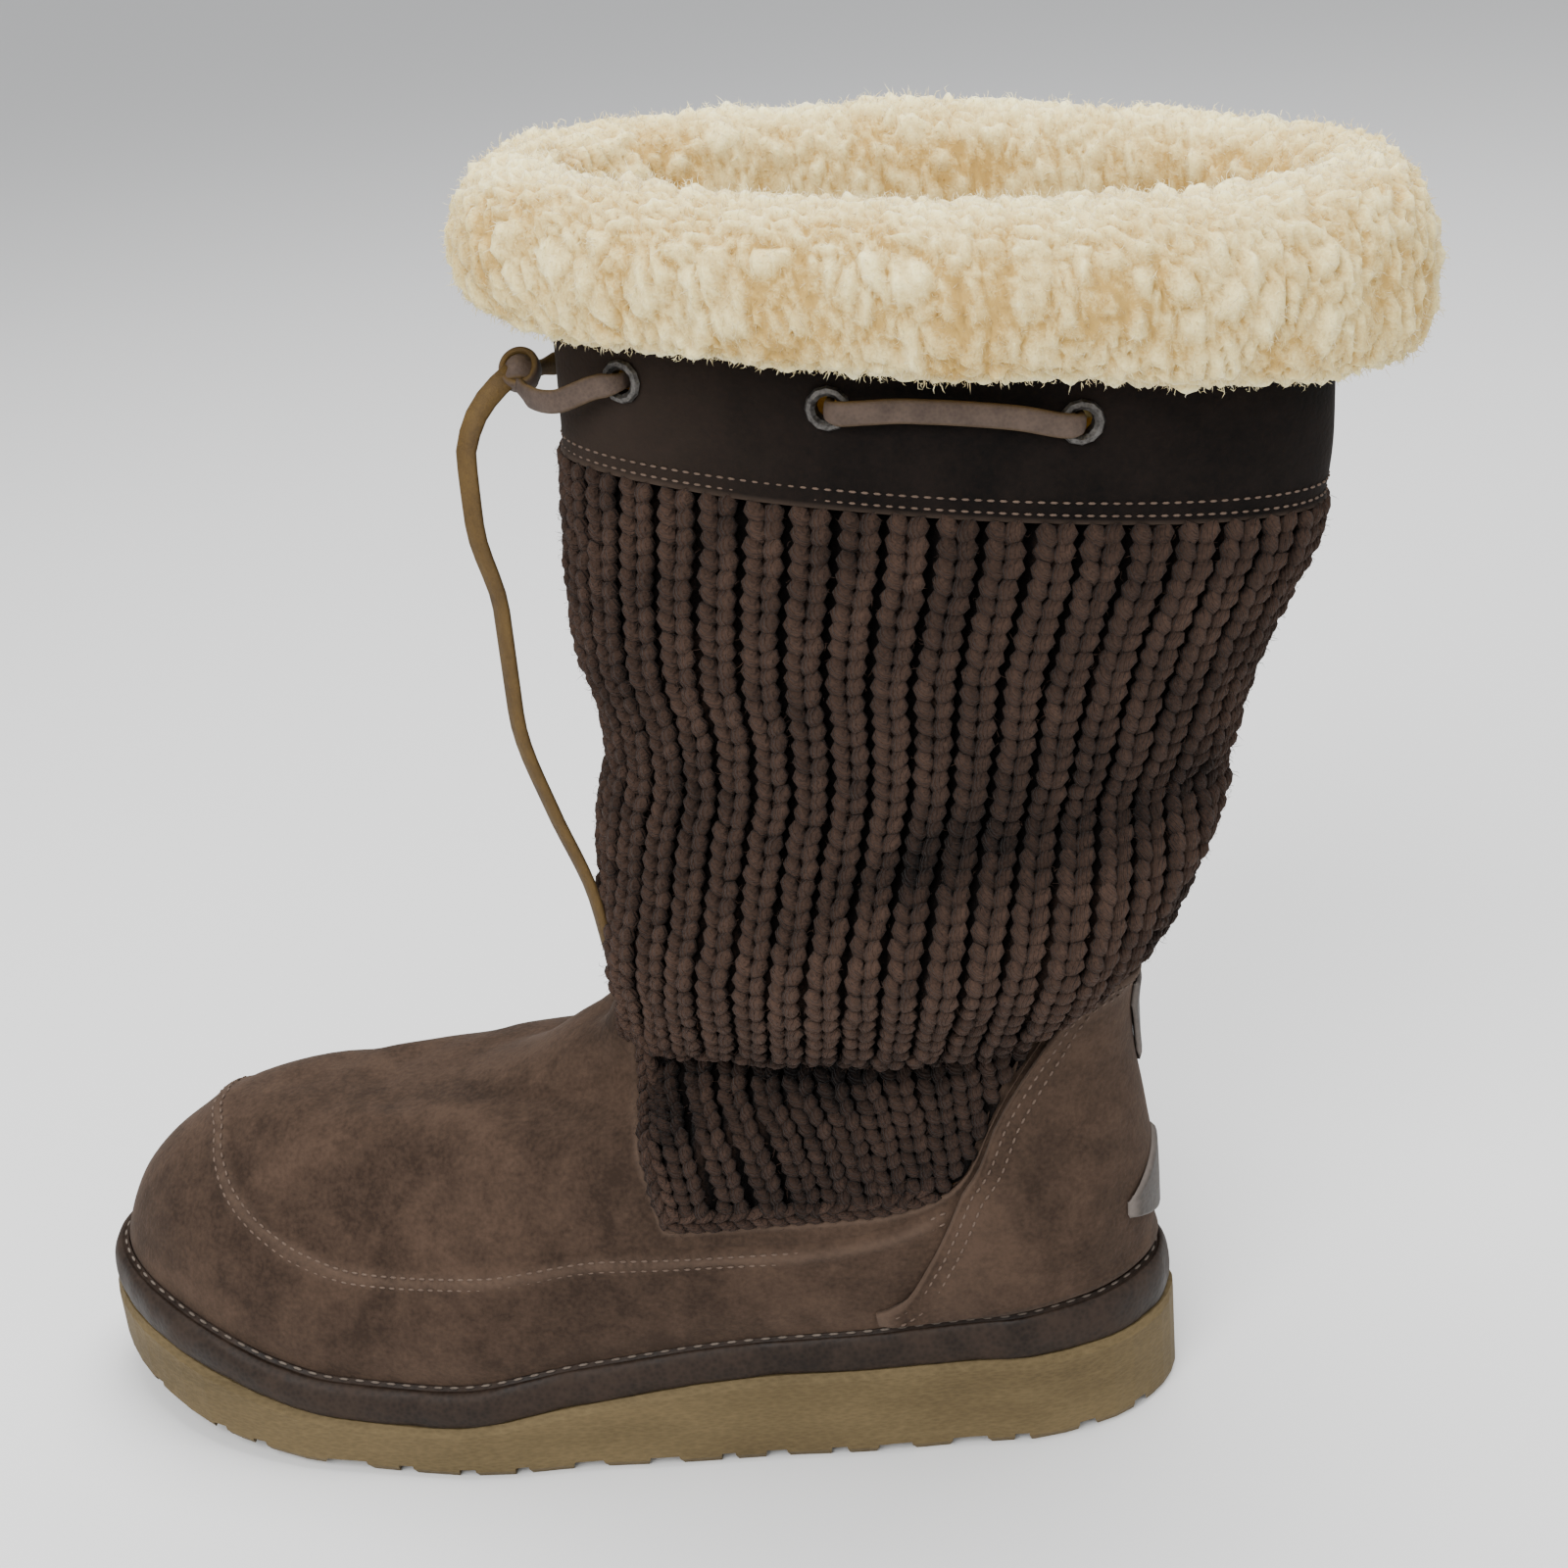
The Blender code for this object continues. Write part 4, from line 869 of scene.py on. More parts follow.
def woolClumps(spots, drop):
    # curls of wool: 1 at a curl's crown and 0 in the cleft between curls, and a tone for each curl
    crown, tone = np.empty(len(spots)), np.empty(len(spots))
    scale = cuffStyle["clumpScale"]
    for index, (x, y, z) in enumerate(spots):
        stretch = 1.0 - 0.50 * drop[index]
        at = Vector((x * scale, y * scale, z * scale * stretch))
        at += noise.noise_vector(at * 0.8) * 0.6
        distances, corners = noise.voronoi(at)
        crown[index] = min((distances[1] - distances[0]) * 1.35, 1.0) ** 0.6
        tone[index] = noise.cell(corners[0] * 7.0)
    return crown, tone


def cuffDrop(v):
    # how far the wool hangs down: full on the outer face, none on the crest and inside
    return eased(v, 0.13, 0.22) * (1.0 - eased(v, 0.36, 0.48))


def woolAt(u, v, base):
    # the wool at places of the roll: where it starts, its inward direction, its push, crowns and a tone with
    # painted light and shade
    out, up, soft = sectionAt(v)
    spots, inward = cuffPoint(2.0 * u, out, up, soft * cuffStyle["inset"])
    crown, tone = woolClumps(spots, cuffDrop(v))
    fine, swell = noiseAt(spots, 520.0), noiseAt(spots, 60.0)
    push = soft * ((crown - 0.5) * cuffStyle["clump"] + fine * cuffStyle["curl"]
                   + swell * cuffStyle["swell"])
    # painted light and shade: curl crowns and outward bumps lighter, clefts darker, the hanging outer face
    # darker as if lit from above, and the inside of the roll darker; each curl also gets its own random tone
    shade = (base + 0.56 * crown + 0.08 * tone + 0.24 * fine - 0.24 * cuffDrop(v)
             - 0.30 * eased(v, 0.50, 0.62))
    return spots, inward, push, crown, shade


def cuffLay(u, v):
    # the roll's tone carries the wool's painted light and shade
    spots, inward, push, crown, painted["tone"] = woolAt(u, v, 0.20)
    return spots - inward * push[:, None]


cuffRoll = laidGrid("fleece_roll", cuffStyle["columns"], cuffStyle["rows"], cuffLay)
merged(cuffRoll)
faceOut(cuffRoll)
place(cuffRoll, fleece, "cuff", cadSlot="fleece")


def strands(name, roots, middles, tips, radius, tones):
    # tapered three-sided strands, each bent at its middle
    count = len(roots)
    tangent = unit(tips - roots)
    sideways = unit(np.cross(tangent, np.array([0.31, 0.53, 0.79])))
    other = np.cross(tangent, sideways)
    points = []
    for centre, width in ((roots, 1.0), (middles, 0.9)):
        for angle in (0.0, 2.0 * math.pi / 3.0, 4.0 * math.pi / 3.0):
            corner = sideways * math.cos(angle) + other * math.sin(angle)
            points.append(centre + corner * (radius * width)[:, None])
    points = np.stack(points + [tips], axis=1)
    faces = [(0, 1, 4), (0, 4, 3), (1, 2, 5), (1, 5, 4), (2, 0, 3), (2, 3, 5), (3, 4, 6), (4, 5, 6),
             (5, 3, 6)]
    many = (np.array(faces)[None] + np.arange(count)[:, None, None] * 7).reshape(-1, 3)
    shade = tones[:, None] + np.array([-0.10, -0.10, -0.10, 0.03, 0.03, 0.03, 0.10])[None]
    return meshPiece(name, points.reshape(-1, 3), many, shade.ravel())


random = np.random.default_rng(cuffStyle["seed"])
for part, lowV, highV, share in (("low", 0.135, 0.30, 1.0), ("crest", 0.30, 0.50, 1.0),
                                 ("inside", 0.50, 0.74, 0.75)):
    rowsHere = int(round(cuffStyle["fuzzRows"] * share))
    gridU, gridV = np.meshgrid(np.arange(cuffStyle["fuzzRound"]), np.arange(rowsHere), indexing="ij")
    u = gridU.ravel() + 0.5 * (gridV.ravel() % 2) + random.uniform(-0.5, 0.5, gridU.size)
    u = u / cuffStyle["fuzzRound"]
    v = lowV + (highV - lowV) * (gridV.ravel() + 0.5 + random.uniform(-0.5, 0.5, gridU.size)) / rowsHere
    # the fuzz takes the wool's tone, with its painted light and shade
    spots, inward, push, crown, tones = woolAt(u, v, 0.24)
    away = -inward
    roots = spots + away * (push - 0.0003)[:, None]
    lean = away * 0.5 + random.normal(0.0, 0.75, away.shape)
    lean[:, 2] -= 0.4 * cuffDrop(v)
    lean = unit(lean)
    length = cuffStyle["fuzzLength"] * random.uniform(0.5, 1.2, len(u)) * (0.55 + 0.55 * crown)
    length = length * (0.45 + 0.55 * eased(v, 0.13, 0.21))
    middles = roots + unit(lean + away * 0.8) * (length * 0.5)[:, None]
    tips = middles + unit(lean + random.normal(0.0, 0.6, away.shape)) * (length * 0.5)[:, None]
    radius = cuffStyle["fuzzRadius"] * random.uniform(0.6, 1.3, len(roots))
    tones = tones + random.normal(0.0, 0.06, len(u))
    tufts = strands("fleece_fuzz_" + part, roots, middles, tips, radius, tones)
    place(tufts, fleece, cadSlot="fleece")
print("fleece made")

# knit shaft: a wall behind rows of yarn loops, painted dark as shade in the grooves, gathered in a slouch
# fold
knitStyle = {
    "columns": 280, "rows": 44, "rowPitch": 0.0039, "legPlace": 0.200, "legWidth": 0.50, "legLength": 1.66,
    "thickness": 0.0019, "slant": 0.42, "bulge": 0.0066, "valley": 0.0036, "tuck": 0.0052, "drop": 0.0066,
    "ribTop": 12.0, "lowPitch": 0.0080, "plainFrom": -0.030, "foldFrom": 0.0, "seed": 3,
}
foldTurn = [0.0, 0.15, 0.237, 0.30, 0.36, 0.44, 0.55, 0.667, 0.83, 0.93, 1.0]
foldLevel = [15.5, 14.6, 12.8, 11.9, 11.1, 11.2, 11.6, 11.5, 11.2, 11.6, 12.6]
foldShare = [0.0, 0.25, 0.75, 1.0, 1.0, 1.0, 1.0, 1.0, 0.85, 0.35, 0.0]
# the crease above the roll
creaseTurn = [0.0, 0.207, 0.293, 0.363, 0.42, 0.473, 0.56, 0.67, 0.83, 1.0]
creaseLevel = [16.2, 16.14, 16.08, 15.9, 15.72, 15.54, 15.24, 15.0, 15.0, 15.2]
creaseShare = [0.3, 1.0, 1.0, 1.0, 1.0, 0.8, 0.4, 0.15, 0.1, 0.0]
# how far the ribs under the fold lean toward the heel, by where they start
leanFrom = [-0.130, -0.094, -0.080, -0.065, -0.050, -0.030, -0.010, 0.030]
leanShare = [0.20, 0.24, 0.30, 0.32, 0.26, 0.14, 0.05, 0.0]


def levelX(turn, level):
    return ringValue(2, level) + (ringValue(0, level) - ringValue(2, level)) * along(turn)


def turnAtX(x, level):
    front, back = ringValue(0, level), ringValue(2, level)
    return np.arccos(1.0 - 2.0 * np.clip((x - back) / (front - back), 0.0, 1.0)) / np.pi


def hanging(turn, level):
    # a rib keeps its turn down to the fold and hangs straight under it
    level = np.asarray(level, float)
    startX = levelX(turn, np.full(level.shape, knitStyle["ribTop"]))
    return np.where(level >= knitStyle["ribTop"], turn, turnAtX(startX, level))


# the fold's tone: painted light on the swell, painted shade in the crease above it, under the fold and below
# its line
foldShade = {}


def knitForm(turn, side, level):
    # the shaft's form with its slouch fold: it swells above the fold, tucks in under it and hangs over
    base = surface(turn, side, level)
    outward = normal(turn, side, level)
    line = curve(foldTurn, foldLevel, turn)
    share = curve(foldTurn, foldShare, turn)
    foot = surface(turn, side, line)[..., 2]
    roll = np.maximum(surface(turn, side, curve(creaseTurn, creaseLevel, turn))[..., 2] - foot, 0.012)
    reach = base[..., 2] - foot
    above = np.exp(-((reach - 0.42 * roll) / (0.36 * roll)) ** 2)
    valley = np.exp(-((reach - 1.05 * roll) / (0.0040 + 0.10 * roll)) ** 2)
    valley = valley * curve(creaseTurn, creaseShare, turn)
    below = np.exp(-((reach + 0.0070) / 0.0062) ** 2)
    over = np.exp(-((reach - 0.0040) / 0.0080) ** 2)
    ripple = np.sin(turn * 47.0 + level * 0.9) * np.exp(-((reach - 0.016) / 0.018) ** 2) * 0.0007
    moved = base + outward * (share * (above * knitStyle["bulge"] - below * knitStyle["tuck"] + ripple)
                              - valley * knitStyle["valley"])[..., None]
    # painted light on the roll's swell; painted shade in the crease, under the fold and below its line
    foldShade["tone"] = 0.24 * share * above - 0.40 * valley - 0.55 * share * below - 0.16 * (reach < -0.004)
    moved[..., 2] -= share * over * knitStyle["drop"]
    return moved


def knitLay(u, v):
    turn, side = wrapped(2.0 * u)
    foot = np.interp(2.0 * u, wallPhases, wallFeet)
    level = foot + (seamLevel + 0.05 - foot) * v
    turn = hanging(turn, level)
    rib = (0.5 - 0.5 * np.cos(2.0 * np.pi * u * form["ribCount"])) ** 0.55
    spots = knitForm(turn, side, level) + normal(turn, side, level) * (-0.0034 + 0.0026 * rib)[:, None]
    # painted shade in the grooves between ribs, lighter on the ribs, with the fold's painted light and shade
    painted["tone"] = -0.30 + 0.55 * rib + foldShade["tone"]
    return spots


wallPhases = np.linspace(0.0, 2.0, knitStyle["columns"] + 1)
wallTurns, _ = wrapped(wallPhases)
wallFeet, stillKnit = np.full(len(wallPhases), seamLevel), np.ones(len(wallPhases), bool)
for level in np.arange(seamLevel, 3.3, -0.05):
    stillKnit = stillKnit & (level > knitEdge(hanging(wallTurns, np.full(len(wallPhases), level))) - 0.05)
    wallFeet = np.where(stillKnit, level, wallFeet)
knitWall = laidGrid("knit_wall", knitStyle["columns"], knitStyle["rows"], knitLay)
merged(knitWall)
faceOut(knitWall)
applied(knitWall, "SOLIDIFY", thickness=0.0014, offset=-1.0)
place(knitWall, yarn, "shaft", cadSlot="knit")

random = np.random.default_rng(knitStyle["seed"])
loop = smallForm(bpy.ops.mesh.primitive_uv_sphere_add, (1.0, 1.0, 1.0), segments=6, ring_count=5, radius=0.5,
                 rotation=(math.radians(90), 0.0, 0.0))
gathered = {key: [] for key in ("spot", "across", "lengthwise", "out", "size", "tone")}


def layLoops(turn, centreTurn, side, level, ribTone, pitch):
    # yarn loops down one leg of a rib, each slanting away from the rib's middle
    sides = np.full(len(level), side)
    middle = knitForm(centreTurn, sides, level)
    path = knitForm(turn, sides, level)
    shade = foldShade["tone"]
    steps = lengthAlong(path)
    where = (np.arange(int(steps[-1] / pitch)) + 0.5) * pitch
    if len(where) == 0:
        return
    spot, up, out, inner = [sampled(where, steps, values) for values in (
        path, -np.gradient(path, axis=0), normal(turn, sides, level), middle)]
    up = unit(up)
    out = unit(out - up * (out * up).sum(axis=1)[:, None])
    aside = spot - inner
    aside = aside - up * (aside * up).sum(axis=1)[:, None]
    ribWidth = np.clip(np.linalg.norm(aside, axis=1) / knitStyle["legPlace"], 0.0058, 0.0098)
    direction = unit(up + unit(aside) * knitStyle["slant"] + random.normal(0.0, 0.07, up.shape))
    gathered["spot"].append(spot + random.normal(0.0, 0.00018, spot.shape))
    gathered["across"].append(unit(np.cross(direction, out)))
    gathered["lengthwise"].append(unit(direction + out * 0.14))
    gathered["out"].append(out)
    gathered["size"].append(np.stack([ribWidth * knitStyle["legWidth"],
                                      np.full(len(spot), pitch * knitStyle["legLength"]),
                                      np.full(len(spot), knitStyle["thickness"] * 2.0)], axis=1))
    # each loop's tone: the rib's own random tone, the fold's painted light and shade, and a random spread
    gathered["tone"].append(ribTone + np.interp(where, steps, shade) + random.normal(0.0, 0.06, len(spot)))


for rib in range(form["ribCount"]):
    centre, side = wrapped(2.0 * (rib + 0.5) / form["ribCount"])
    ribTone = random.normal(0.45, 0.03)
    under = levelX(centre, np.array(knitStyle["ribTop"])) < knitStyle["foldFrom"]
    for leg in (-1.0, 1.0):
        turn, _ = wrapped(2.0 * (rib + 0.5 + leg * knitStyle["legPlace"]) / form["ribCount"])
        level = np.linspace(seamLevel - 0.02, 9.0, 420)
        turns, centres = hanging(turn, level), hanging(centre, level)
        lowest = curve(foldTurn, foldLevel, turns) - 0.35 if under else np.zeros(len(level))
        kept = np.logical_and.accumulate(level > np.maximum(knitEdge(turns) + 0.05, lowest))
        layLoops(turns[kept], centres[kept], float(side), level[kept], ribTone, knitStyle["rowPitch"])
starts = [float(levelX(wrapped(2.0 * (rib + 0.5) / form["ribCount"])[0], np.array(knitStyle["ribTop"])))
          for rib in range(form["ribCount"] // 2)]
starts = [start for start in sorted(starts, reverse=True)
          if knitStyle["plainFrom"] < start < knitStyle["foldFrom"]]
while starts[-1] > -0.125:
    starts.append(starts[-1] - knitStyle["lowPitch"])
for side in (-1.0, 1.0):
    for start in starts:
        ribTone = random.normal(0.43, 0.03)
        level = np.linspace(knitStyle["ribTop"], 3.5, 420)
        lean = float(curve(leanFrom, leanShare, start))
        middleX = start + lean * (knitStyle["ribTop"] - level) * 0.0046
        centres = turnAtX(middleX, level)
        for leg in (-1.0, 1.0):
            turns = turnAtX(middleX + leg * knitStyle["legPlace"] * knitStyle["lowPitch"], level)
            kept = (level > knitEdge(turns) + 0.05) & (level < curve(foldTurn, foldLevel, turns) + 0.3)
            kept = kept & (middleX > ringValue(0, level) + 0.004)
            if kept.sum() > 8:
                layLoops(turns[kept], centres[kept], side, level[kept], ribTone, knitStyle["rowPitch"] * 0.9)
# a chain of loops runs along the knit's front and lower edge
for side in (-1.0, 1.0):
    turns = np.concatenate([np.linspace(0.29, 0.46, 80), np.linspace(0.462, 0.51, 60),
                            np.linspace(0.513, 0.96, 120)])
    sides = np.full(len(turns), side)
    for step in (0.0012, 0.0036):
        level = knitEdge(turns)
        around = np.gradient(surface(turns, sides, level), axis=0)
        out = normal(turns, sides, level)
        inwardStep = unit(np.cross(out, unit(around))) * side
        into = knitForm(turns, sides, level + 0.2) - surface(turns, sides, level)
        inwardStep = inwardStep * np.sign((inwardStep * into).sum(axis=1))[:, None]
        path = surface(turns, sides, level) + inwardStep * step + out * 0.0002
        spots, tangent, where, steps = resampled(path, 0.0039)
        outs = unit(sampled(where, steps, out))
        aside = np.cross(outs, tangent) * (1.0 if step > 0.002 else -1.0)
        direction = unit(tangent + aside * 0.45)
        gathered["spot"].append(spots)
        gathered["across"].append(unit(np.cross(direction, outs)))
        gathered["lengthwise"].append(direction)
        gathered["out"].append(outs)
        gathered["size"].append(np.tile([0.0028, 0.0062, 0.0036], (len(spots), 1)))
        gathered["tone"].append(random.normal(0.50, 0.08, len(spots)))
gathered = {key: np.concatenate(parts) for key, parts in gathered.items()}
knitLoops = scattered("knit_loops", loop, gathered["spot"], gathered["across"], gathered["lengthwise"],
                      gathered["out"], gathered["size"], gathered["tone"])
place(knitLoops, yarn, "shaft", cadSlot="knit")
# loose fibres that stand off the yarn
hairCount = 10000
hairPicks = random.integers(0, len(gathered["spot"]), hairCount)
hairOut, hairAcross = gathered["out"][hairPicks], gathered["across"][hairPicks]
hairUp, hairSize = gathered["lengthwise"][hairPicks], gathered["size"][hairPicks]
shift = random.uniform(-0.45, 0.45, (hairCount, 2))
hairRoots = (gathered["spot"][hairPicks] + hairAcross * (hairSize[:, :1] * shift[:, :1])
             + hairUp * (hairSize[:, 1:2] * shift[:, 1:]) + hairOut * (hairSize[:, 2:] * 0.30))
hairLean = unit(hairOut * 0.5 + random.normal(0.0, 0.8, hairOut.shape))
hairLength = random.uniform(0.0010, 0.0030, (hairCount, 1))
hairMiddles = hairRoots + unit(hairLean + hairOut * 0.6) * hairLength * 0.5
hairBend = unit(hairLean + random.normal(0.0, 0.7, hairOut.shape) - hairOut * 0.3)
hairTips = hairMiddles + hairBend * hairLength * 0.5
knitHairs = strands("knit_hairs", hairRoots, hairMiddles, hairTips, np.full(hairCount, 0.000055),
                    random.normal(0.62, 0.12, hairCount))
place(knitHairs, yarn, cadSlot="knit")
print("knit made")

# suede foot: the upper's wall at a fine grain, with its apron step and worn creases
footStyle = {"columns": 310, "rows": 64, "wall": 0.0022, "step": 0.0007, "lumpHeight": 0.0007,
             "lumpScale": 42.0}
# creases: points as (turn, side, level), depth and half width in metres
creases = []
for side in (-1.0, 1.0):
    creases += [
        ([(1.0, side, 7.14), (0.87, side, 7.0), (0.673, side, 5.88)], 0.0010, 0.0045),
        ([(1.0, side, 6.12), (0.87, side, 6.18), (0.767, side, 5.4)], 0.0008, 0.0040),
        ([(0.99, side, 12.2), (0.983, side, 11.04), (0.83, side, 10.0)], 0.0018, 0.0060),
        ([(0.617, side, 4.3), (0.57, side, 4.15), (0.527, side, 3.9)], 0.0007, 0.0050),
        ([(0.207, side, 1.9), (0.137, side, 2.5), (0.10, side, 3.4)], 0.0005, 0.0060),
    ]


def upperLay(u, v):
    turns, sides = wrapped(2.0 * u)
    level = (knitEdge(turns) + 0.02) * v
    spots = surface(turns, sides, level)
    out = normal(turns, sides, level)
    above, below = surface(turns, sides, level + 0.1), surface(turns, sides, np.maximum(level - 0.1, 0.0))
    rise = np.linalg.norm(above - below, axis=1)
    reach = (level - apronEdge(turns)) * rise / 0.2
    active = eased(turns, 0.27, 0.31)
    push = (1.0 - eased(reach, -0.0008, 0.0008)) * footStyle["step"]
    push = push - 0.0006 * np.exp(-(reach / 0.0009) ** 2)
    push = push + 0.00055 * np.exp(-((reach + 0.0026) / 0.0016) ** 2)
    push = push * active
    fromEdge = (knitEdge(turns) - level) * rise / 0.2
    rim = np.exp(-((fromEdge - 0.0008) / 0.0009) ** 2)
    push = push + rim * 0.0004
    lumps = noiseAt(spots, footStyle["lumpScale"])
    push = push + lumps * footStyle["lumpHeight"] * eased(level, 0.2, 1.6)
    for line, depth, width in creases:
        for start, end in zip(line, line[1:]):
            a, b = surface(*start), surface(*end)
            share = np.clip(((spots - a) @ (b - a)) / ((b - a) @ (b - a)), 0.0, 1.0)
            away = np.linalg.norm(spots - (a + (b - a) * share[:, None]), axis=1)
            push = push - 0.6 * depth * np.exp(-(away / width) ** 2)
    painted["wearAndPaintedLight"] = (0.30 * np.exp(-((reach + 0.0022) / 0.0016) ** 2) * active + 0.34 * rim
                       + 0.10 * np.exp(-(level / 1.2) ** 2))
    spots = spots + out * push[:, None]
    foot = v < 1e-6
    spots[foot, 2] = soleTop(spots[foot, 0]) + form["gap"]
    return spots


suedeFoot = laidGrid("suede_foot", footStyle["columns"], footStyle["rows"], upperLay)
merged(suedeFoot)
faceOut(suedeFoot)
applied(suedeFoot, "SOLIDIFY", thickness=footStyle["wall"], offset=-1.0)
place(suedeFoot, suede, "upper", cadSlot="suede")
print("suede foot made")

# heel counter: a lapped overlay with a skived light edge
counterStyle = {"columns": 150, "rows": 54, "lift": 0.00122, "wall": 0.0013, "reach": 0.33}
counterSeamTurn = [0.0, 0.256, 0.266, 0.275, 0.292, 0.312, 0.330, 1.0]
counterSeamLevel = [9.9, 5.6, 4.5, 3.74, 2.2, 1.1, 0.8, 0.8]


def counterTop(turns):
    # under the knit's edge at the back, and down its own seam at the front
    seam = np.where(turns > 0.256, curve(counterSeamTurn, counterSeamLevel, turns), 99.0)
    slope = (knitEdge(turns + 0.01) - knitEdge(turns - 0.01)) / 0.02
    return np.minimum(knitEdge(turns) - 0.10 - np.minimum(np.abs(slope) * 0.0025, 0.5), seam)


def counterLay(u, v):
    signed = counterStyle["reach"] * (2.0 * u - 1.0)
    turns, sides = np.abs(signed), np.where(signed > 0, 1.0, -1.0)
    low, high = 0.30, counterTop(turns)
    level = low + (high - low) * v
    out = normal(turns, sides, level)
    rise = metresPerLevel(turns, sides, level)
    edge = np.minimum((high - level) * rise, (counterStyle["reach"] - turns) * 0.12)
    skive = eased(edge, 0.0, 0.0011)
    spots = surface(turns, sides, level)
    lumps = noiseAt(spots, 60.0)
    painted["wearAndPaintedLight"] = 0.42 * (1.0 - eased(edge, 0.0002, 0.0020)) + 0.10 * eased(edge, 0.002, 0.006) * np.exp(
        -((edge - 0.006) / 0.006) ** 2)
    push = counterStyle["lift"] + counterStyle["wall"] * (0.25 + 0.75 * skive) + lumps * 0.0005
    return spots + out * push[:, None]


counterPiece = laidGrid("suede_counter", counterStyle["columns"], counterStyle["rows"], counterLay)
applied(counterPiece, "SOLIDIFY", thickness=counterStyle["wall"], offset=-1.0)
faceOut(counterPiece)
place(counterPiece, suede, "heel_counter", cadSlot="suede")
print("counter made")

# collar band: dark suede, partly painted shade under the cuff, with painted light on its front and with its
# eyelet holes
bandStyle = {"columns": 360, "rows": 22, "wall": 0.0022}


def bandLay(u, v):
    turns, sides = wrapped(2.0 * u)
    level = seamLevel + 0.02 + (lastLevel - seamLevel - 0.02) * v
    spots = surface(turns, sides, level)
    push = noiseAt(spots, 45.0) * 0.0004 + 0.0006 * np.exp(-(v / 0.05) ** 2)
    # painted light: the band's front is lighter where light falls on it; the band is also lighter at the
    # back and along its lower edge
    painted["wearAndPaintedLight"] = (0.26 * eased(turns, 0.55, 0.85) + 0.12 * np.exp(-(turns / 0.04) ** 2)
                       + 0.5 * np.exp(-(v / 0.02) ** 2))
    return spots + normal(turns, sides, level) * push[:, None]


band = laidGrid("suede_band", bandStyle["columns"], bandStyle["rows"], bandLay)
merged(band)
faceOut(band)
applied(band, "SOLIDIFY", thickness=bandStyle["wall"], offset=-1.0)
for side in (-1.0, 1.0):
    for turn in laceStyle["holes"]:
        spot, outward, upward = eyeletSpot(turn, side)
        deselect()
        bpy.ops.mesh.primitive_cylinder_add(vertices=28, radius=laceStyle["holeRadius"], depth=0.012,
                                            location=spot)
        tool = bpy.context.active_object
        tool.rotation_euler = Vector(outward).to_track_quat("Z", "Y").to_euler()
        bpy.context.view_layer.update()
        applied(band, "BOOLEAN", operation="DIFFERENCE", solver="EXACT", object=tool)
        bpy.data.objects.remove(tool)
place(band, bandSuede, "collar_band", cadSlot="band_suede")
print("band made")

# welt: a rounded wrapped band between the sole and the foot
weltStyle = {"columns": 520, "rows": 22, "inset": 0.0010}
weltSection = np.array([
    (0.02, 0.02), (0.50, 0.0), (0.88, 0.02), (1.02, 0.16), (1.06, 0.42), (0.98, 0.70), (0.80, 0.90),
    (0.58, 0.99),
    (0.42, 0.97), (0.30, 0.93), (0.18, 1.02), (0.04, 0.98),
])


def weltPoint(phase, outward, rise):
    turns, sides = wrapped(phase)
    zero = np.zeros(len(turns))
    foot = surface(turns, sides, zero) + normal(turns, sides, zero) * 0.00045
    sole = np.stack([form["heelOverhang"] - form["soleLength"] * along(turns),
                     bend(turns) + sides * halfWidth(turns),
                     zero], axis=1)
    inward = foot - sole
    inward[:, 2] = 0.0
    inward = inward / np.maximum(np.linalg.norm(inward, axis=1, keepdims=True), 1e-9)
    flat = foot + (sole - foot) * outward[:, None] + inward * (weltStyle["inset"] * outward)[:, None]
    low, high = soleTop(flat[:, 0]) + form["gap"], weltTop(flat[:, 0])
    flat[:, 2] = low + (high - low) * rise
    return flat, -inward


def weltLay(u, v):
    value = roundLoop(weltSection, v)
    spots, outward = weltPoint(2.0 * u, value[:, 0], value[:, 1])
    shown = eased(value[:, 0], 0.3, 0.8)
    lumps = noiseAt(spots * (130.0, 130.0, 60.0), 1.0)
    return spots + outward * (lumps * 0.0004 * shown)[:, None]


weltPiece = laidGrid("wrapped_welt", weltStyle["columns"], weltStyle["rows"], weltLay, True)
faceOut(weltPiece)
place(weltPiece, welting, "welt", cadSlot="piping")
print("welt made")

# fleece lining of the shaft and the footbed
liningStyle = {"columns": 150, "rows": 52, "deep": 0.0100}


def liningLay(u, v):
    turns, sides = wrapped(2.0 * u)
    level = 1.2 + (lastLevel - 0.4 - 1.2) * v
    spots = surface(turns, sides, level)
    crown, tone = woolClumps(spots, np.full(len(spots), 0.6))
    # painted shade: curl crowns lighter, clefts between curls darker
    painted["tone"] = 0.05 + 0.45 * crown + 0.12 * tone
    return spots - normal(turns, sides, level) * (liningStyle["deep"] - 0.0014 * crown)[:, None]


liningPiece = laidGrid("fleece_lining", liningStyle["columns"], liningStyle["rows"], liningLay)
merged(liningPiece)
applied(liningPiece, "SOLIDIFY", thickness=0.0012, offset=0.0)
faceOut(liningPiece)
place(liningPiece, fleece, cadSlot="lining")


def insoleLay(u, v):
    turns = 0.03 + 0.94 * u
    across = 2.0 * v - 1.0
    x = form["heelOverhang"] - 0.0100 - (form["soleLength"] - 0.0200) * along(turns)
    spots = np.stack([x, bend(turns) + across * np.maximum(halfWidth(turns) - 0.0100, 0.0009),
                      soleTop(x) + 0.0046], axis=1)
    crown, tone = woolClumps(spots, np.zeros(len(spots)))
    # painted shade: curl crowns lighter, clefts between curls darker
    painted["tone"] = 0.05 + 0.45 * crown + 0.12 * tone
    spots[:, 2] += 0.0009 * crown
    return spots


insolePiece = laidGrid("fleece_footbed", 120, 36, insoleLay)
applied(insolePiece, "SOLIDIFY", thickness=0.0040, offset=-1.0)
faceOut(insolePiece)
place(insolePiece, fleece, "insole", cadSlot="lining")
print("lining made")

